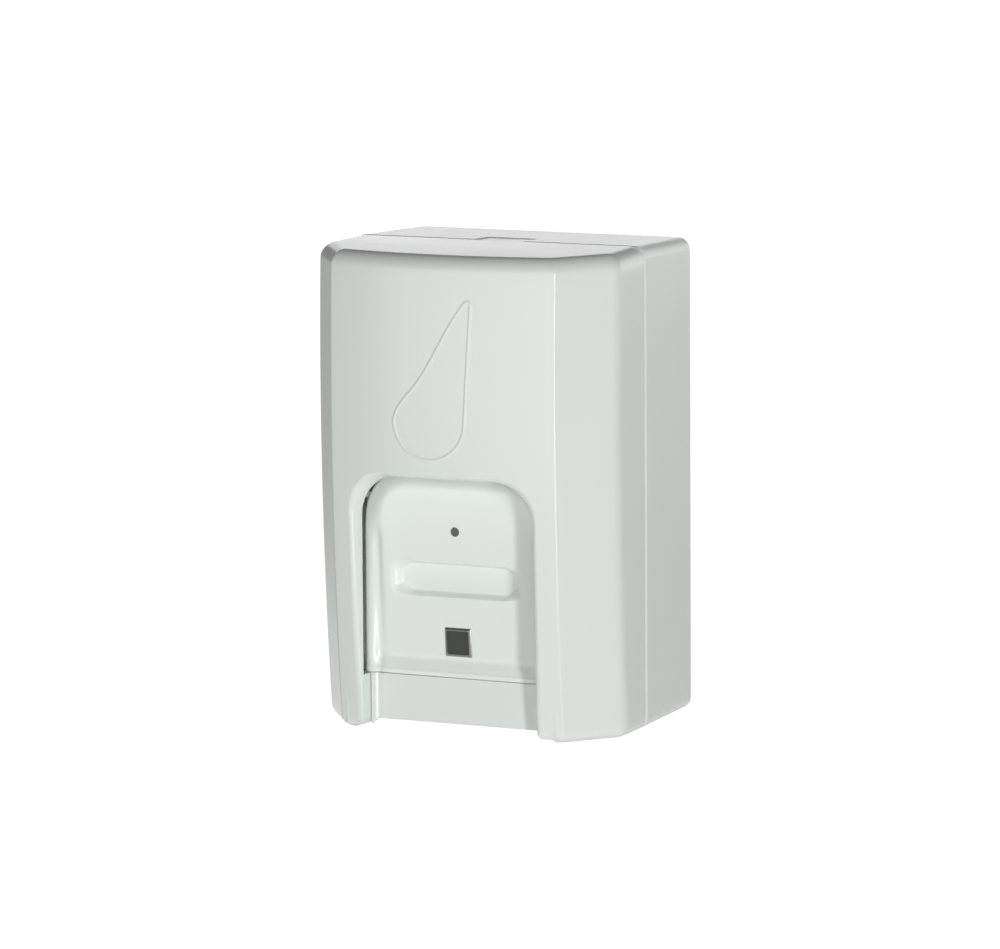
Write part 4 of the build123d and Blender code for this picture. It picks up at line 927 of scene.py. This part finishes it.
# Tank and its lid
# The refillable tank and its lift-off lid, in milky polyethylene with a slightly waxy face.
# The tank is blow moulded and held to the housing by two screws.
TANK_MILK = (0.72, 0.76, 0.77)
tank_plastic = moulded_plastic("tank_milky_plastic", TANK_MILK, roughness=0.42)
for node in ("soap_tank", "tank_lid"):
    dress(node, tank_plastic)


# Pump, plunger, catch and pad
# The pump's fixed and moving mouldings, the cover's catch and the lever's pad.
# All are white acetal: stiff, a little waxy and plainer in finish than the outside.
PUMP_WHITE = (0.70, 0.71, 0.69)
pump_plastic = moulded_plastic("pump_white_plastic", PUMP_WHITE, roughness=0.45)
for node in (
    "pump_body", "gland_nut", "pump_plunger", "plunger_head", "nozzle", "channel_plug", "cover_catch",
    "pusher_pad",
):
    dress(node, pump_plastic)


# Seals
# The lid's gasket, the spigot's ring, the piston's seal and the nozzle's slit valve.
# They are moulded in black rubber and pressed into their seats.
RUBBER_BLACK = (0.035, 0.035, 0.037)
seal_rubber = moulded_plastic("seal_black_rubber", RUBBER_BLACK, roughness=0.62, grain=2.0)
for node in ("lid_gasket", "tank_seal", "piston_seal", "outlet_valve"):
    dress(node, seal_rubber)


# Pins, screws, springs and clips
# The small parts that hold and return the others, and the inlet's ball.
# They are bright stainless steel, turned or drawn.
STEEL_GREY = (0.60, 0.60, 0.61)
steel = bright_metal("stainless_steel", STEEL_GREY, roughness=0.28)
for node in (
    "hinge_pins", "lever_pin", "pin_clips", "apron_screws", "tank_screws", "pump_screws", "catch_screws",
    "latch_clip", "inlet_ball",
):
    dress(node, steel)

# Each spring is a copy of its node in steel, carried whole by the moving body of its joint.
PLUNGER_TRAVEL = 8.3
LATCH_TRAVEL = 3.0
for node, body, joint, axis, travel in (
    ("plunger_spring", "plunger", "plunger_slide", Vector((0.0, 1.0, 0.0)), PLUNGER_TRAVEL),
    ("latch_spring", "latch", "latch_press", Vector((0.0, 0.0, -1.0)), LATCH_TRAVEL),
):
    coil = worked_copy(node, node + "_coil")
    smooth(coil, steel, angle=40.0)
    low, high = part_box(node)
    length = abs(axis.dot(high - low))
    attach(coil, body)
    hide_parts(node)
    1 - travel * MM / length
    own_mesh(coil)


# Camera
# It stands where the photograph was taken from, to the right of the front and a little above.
AZIMUTH = 26.57
ELEVATION = 7.85
ROLL = -0.36
DISTANCE = 2771.0
AIM = Vector((-0.57, -50.0, 2.35))
FOCAL_SHARE = 6.3647
SENSOR = 36.0
FAR_CLIP = 100.0
view_turn = math.radians(AZIMUTH)
view_rise = math.radians(ELEVATION)
view_tilt = math.radians(ROLL)
level_ahead = Vector((-math.sin(view_turn), math.cos(view_turn), 0.0))
right = Vector((math.cos(view_turn), math.sin(view_turn), 0.0))
ahead = level_ahead * math.cos(view_rise) - Vector((0.0, 0.0, math.sin(view_rise)))
up = right.cross(ahead)
across = right * math.cos(view_tilt) + up * math.sin(view_tilt)
above = up * math.cos(view_tilt) - right * math.sin(view_tilt)
lens = bpy.data.cameras.new("camera")
lens.sensor_width = SENSOR
lens.lens = FOCAL_SHARE * SENSOR
lens.clip_end = FAR_CLIP
camera = bpy.data.objects.new("camera", lens)
bpy.context.scene.collection.objects.link(camera)
stand = Matrix((across, above, -ahead)).transposed().to_4x4()
stand.translation = (AIM - ahead * DISTANCE) * MM
camera.matrix_world = stand
bpy.context.scene.camera = camera


# Floor and light
# In metres: a wide pale floor far below the dispenser, with a bright sweep of it behind that fills the
# background. A tall key light stands at the right, a wide fill in front and a bright screen behind.
FLOOR_Z = -1.4
FLOOR_SIZE = 80.0
FLOOR_PAINT = (0.8, 0.8, 0.8)
FLOOR_GLOW = (0.31, 0.31, 0.31)
WHITE_GLOW = (1.0, 1.0, 1.0)
SWEEP_START = 3.4
SWEEP_FULL = 5.2
SWEEP_EDGE = 3.0
SWEEP_INNER = 2.5
AMBIENT = 0.1
bpy.ops.object.select_all(action="DESELECT")
bpy.ops.mesh.primitive_plane_add(size=FLOOR_SIZE, location=(0.0, 0.0, FLOOR_Z))
bpy.ops.object.transform_apply(location=True)
floor = bpy.context.object
floor.name = "floor"
floor_paint = bpy.data.materials.new("floor_paint")
floor_paint.use_nodes = True
floor_shader = floor_paint.node_tree.nodes["Principled BSDF"]
floor_shader.inputs["Base Color"].default_value = (*FLOOR_PAINT, 1.0)
floor_shader.inputs["Roughness"].default_value = 0.9
floor_shader.inputs["Emission Strength"].default_value = 1.0
shade = Shade(floor_paint.node_tree)
place = shade.add("TexCoord", output="Object")
sweep = shade.add("Mapping", links={"Vector": place, "Rotation": (0.0, 0.0, -view_turn)})
sideways = shade.add("SeparateXYZ", links={"Vector": sweep}, output="X")
along = shade.add("SeparateXYZ", links={"Vector": sweep}, output="Y")
off = shade.add("Math", {"operation": "ABSOLUTE"}, {0: sideways})
eased_range = {"interpolation_type": "SMOOTHSTEP"}
far = shade.add("MapRange", eased_range, {"Value": along, "From Min": SWEEP_START, "From Max": SWEEP_FULL})
inside = shade.add("MapRange", eased_range, {"Value": off, "From Min": SWEEP_EDGE, "From Max": SWEEP_INNER})
(far * inside).blend(FLOOR_GLOW, WHITE_GLOW).into(floor_shader, "Emission Color")
floor.data.materials.append(floor_paint)


def softbox(name, azimuth, elevation, far, wide, high, power):
    """A soft light that faces the dispenser, placed by its angles from the front and above the level."""
    light = bpy.data.lights.new(name, "AREA")
    light.shape = "RECTANGLE"
    light.size = wide
    light.size_y = high
    light.energy = power
    lamp = bpy.data.objects.new(name, light)
    turn = math.radians(azimuth)
    rise = math.radians(elevation)
    level = math.cos(rise)
    lamp.location = Vector((math.sin(turn) * level, -math.cos(turn) * level, math.sin(rise))) * far
    lamp.rotation_euler = (-lamp.location).to_track_quat("-Z", "Y").to_euler()
    bpy.context.scene.collection.objects.link(lamp)


softbox("key_light", azimuth=49.5, elevation=2.0, far=2.0, wide=0.2, high=1.1, power=17.0)
softbox("fill_light", azimuth=-5.0, elevation=5.0, far=2.0, wide=2.8, high=1.1, power=13.9)
softbox("screen_light", azimuth=180.0, elevation=9.0, far=3.5, wide=6.0, high=1.6, power=45.6)
world = bpy.data.worlds.new("studio")
world.use_nodes = True
backdrop = world.node_tree.nodes["Background"]
backdrop.inputs["Color"].default_value = (*WHITE_GLOW, 1.0)
backdrop.inputs["Strength"].default_value = AMBIENT
bpy.context.scene.world = world
bpy.context.scene.view_settings.view_transform = "Standard"
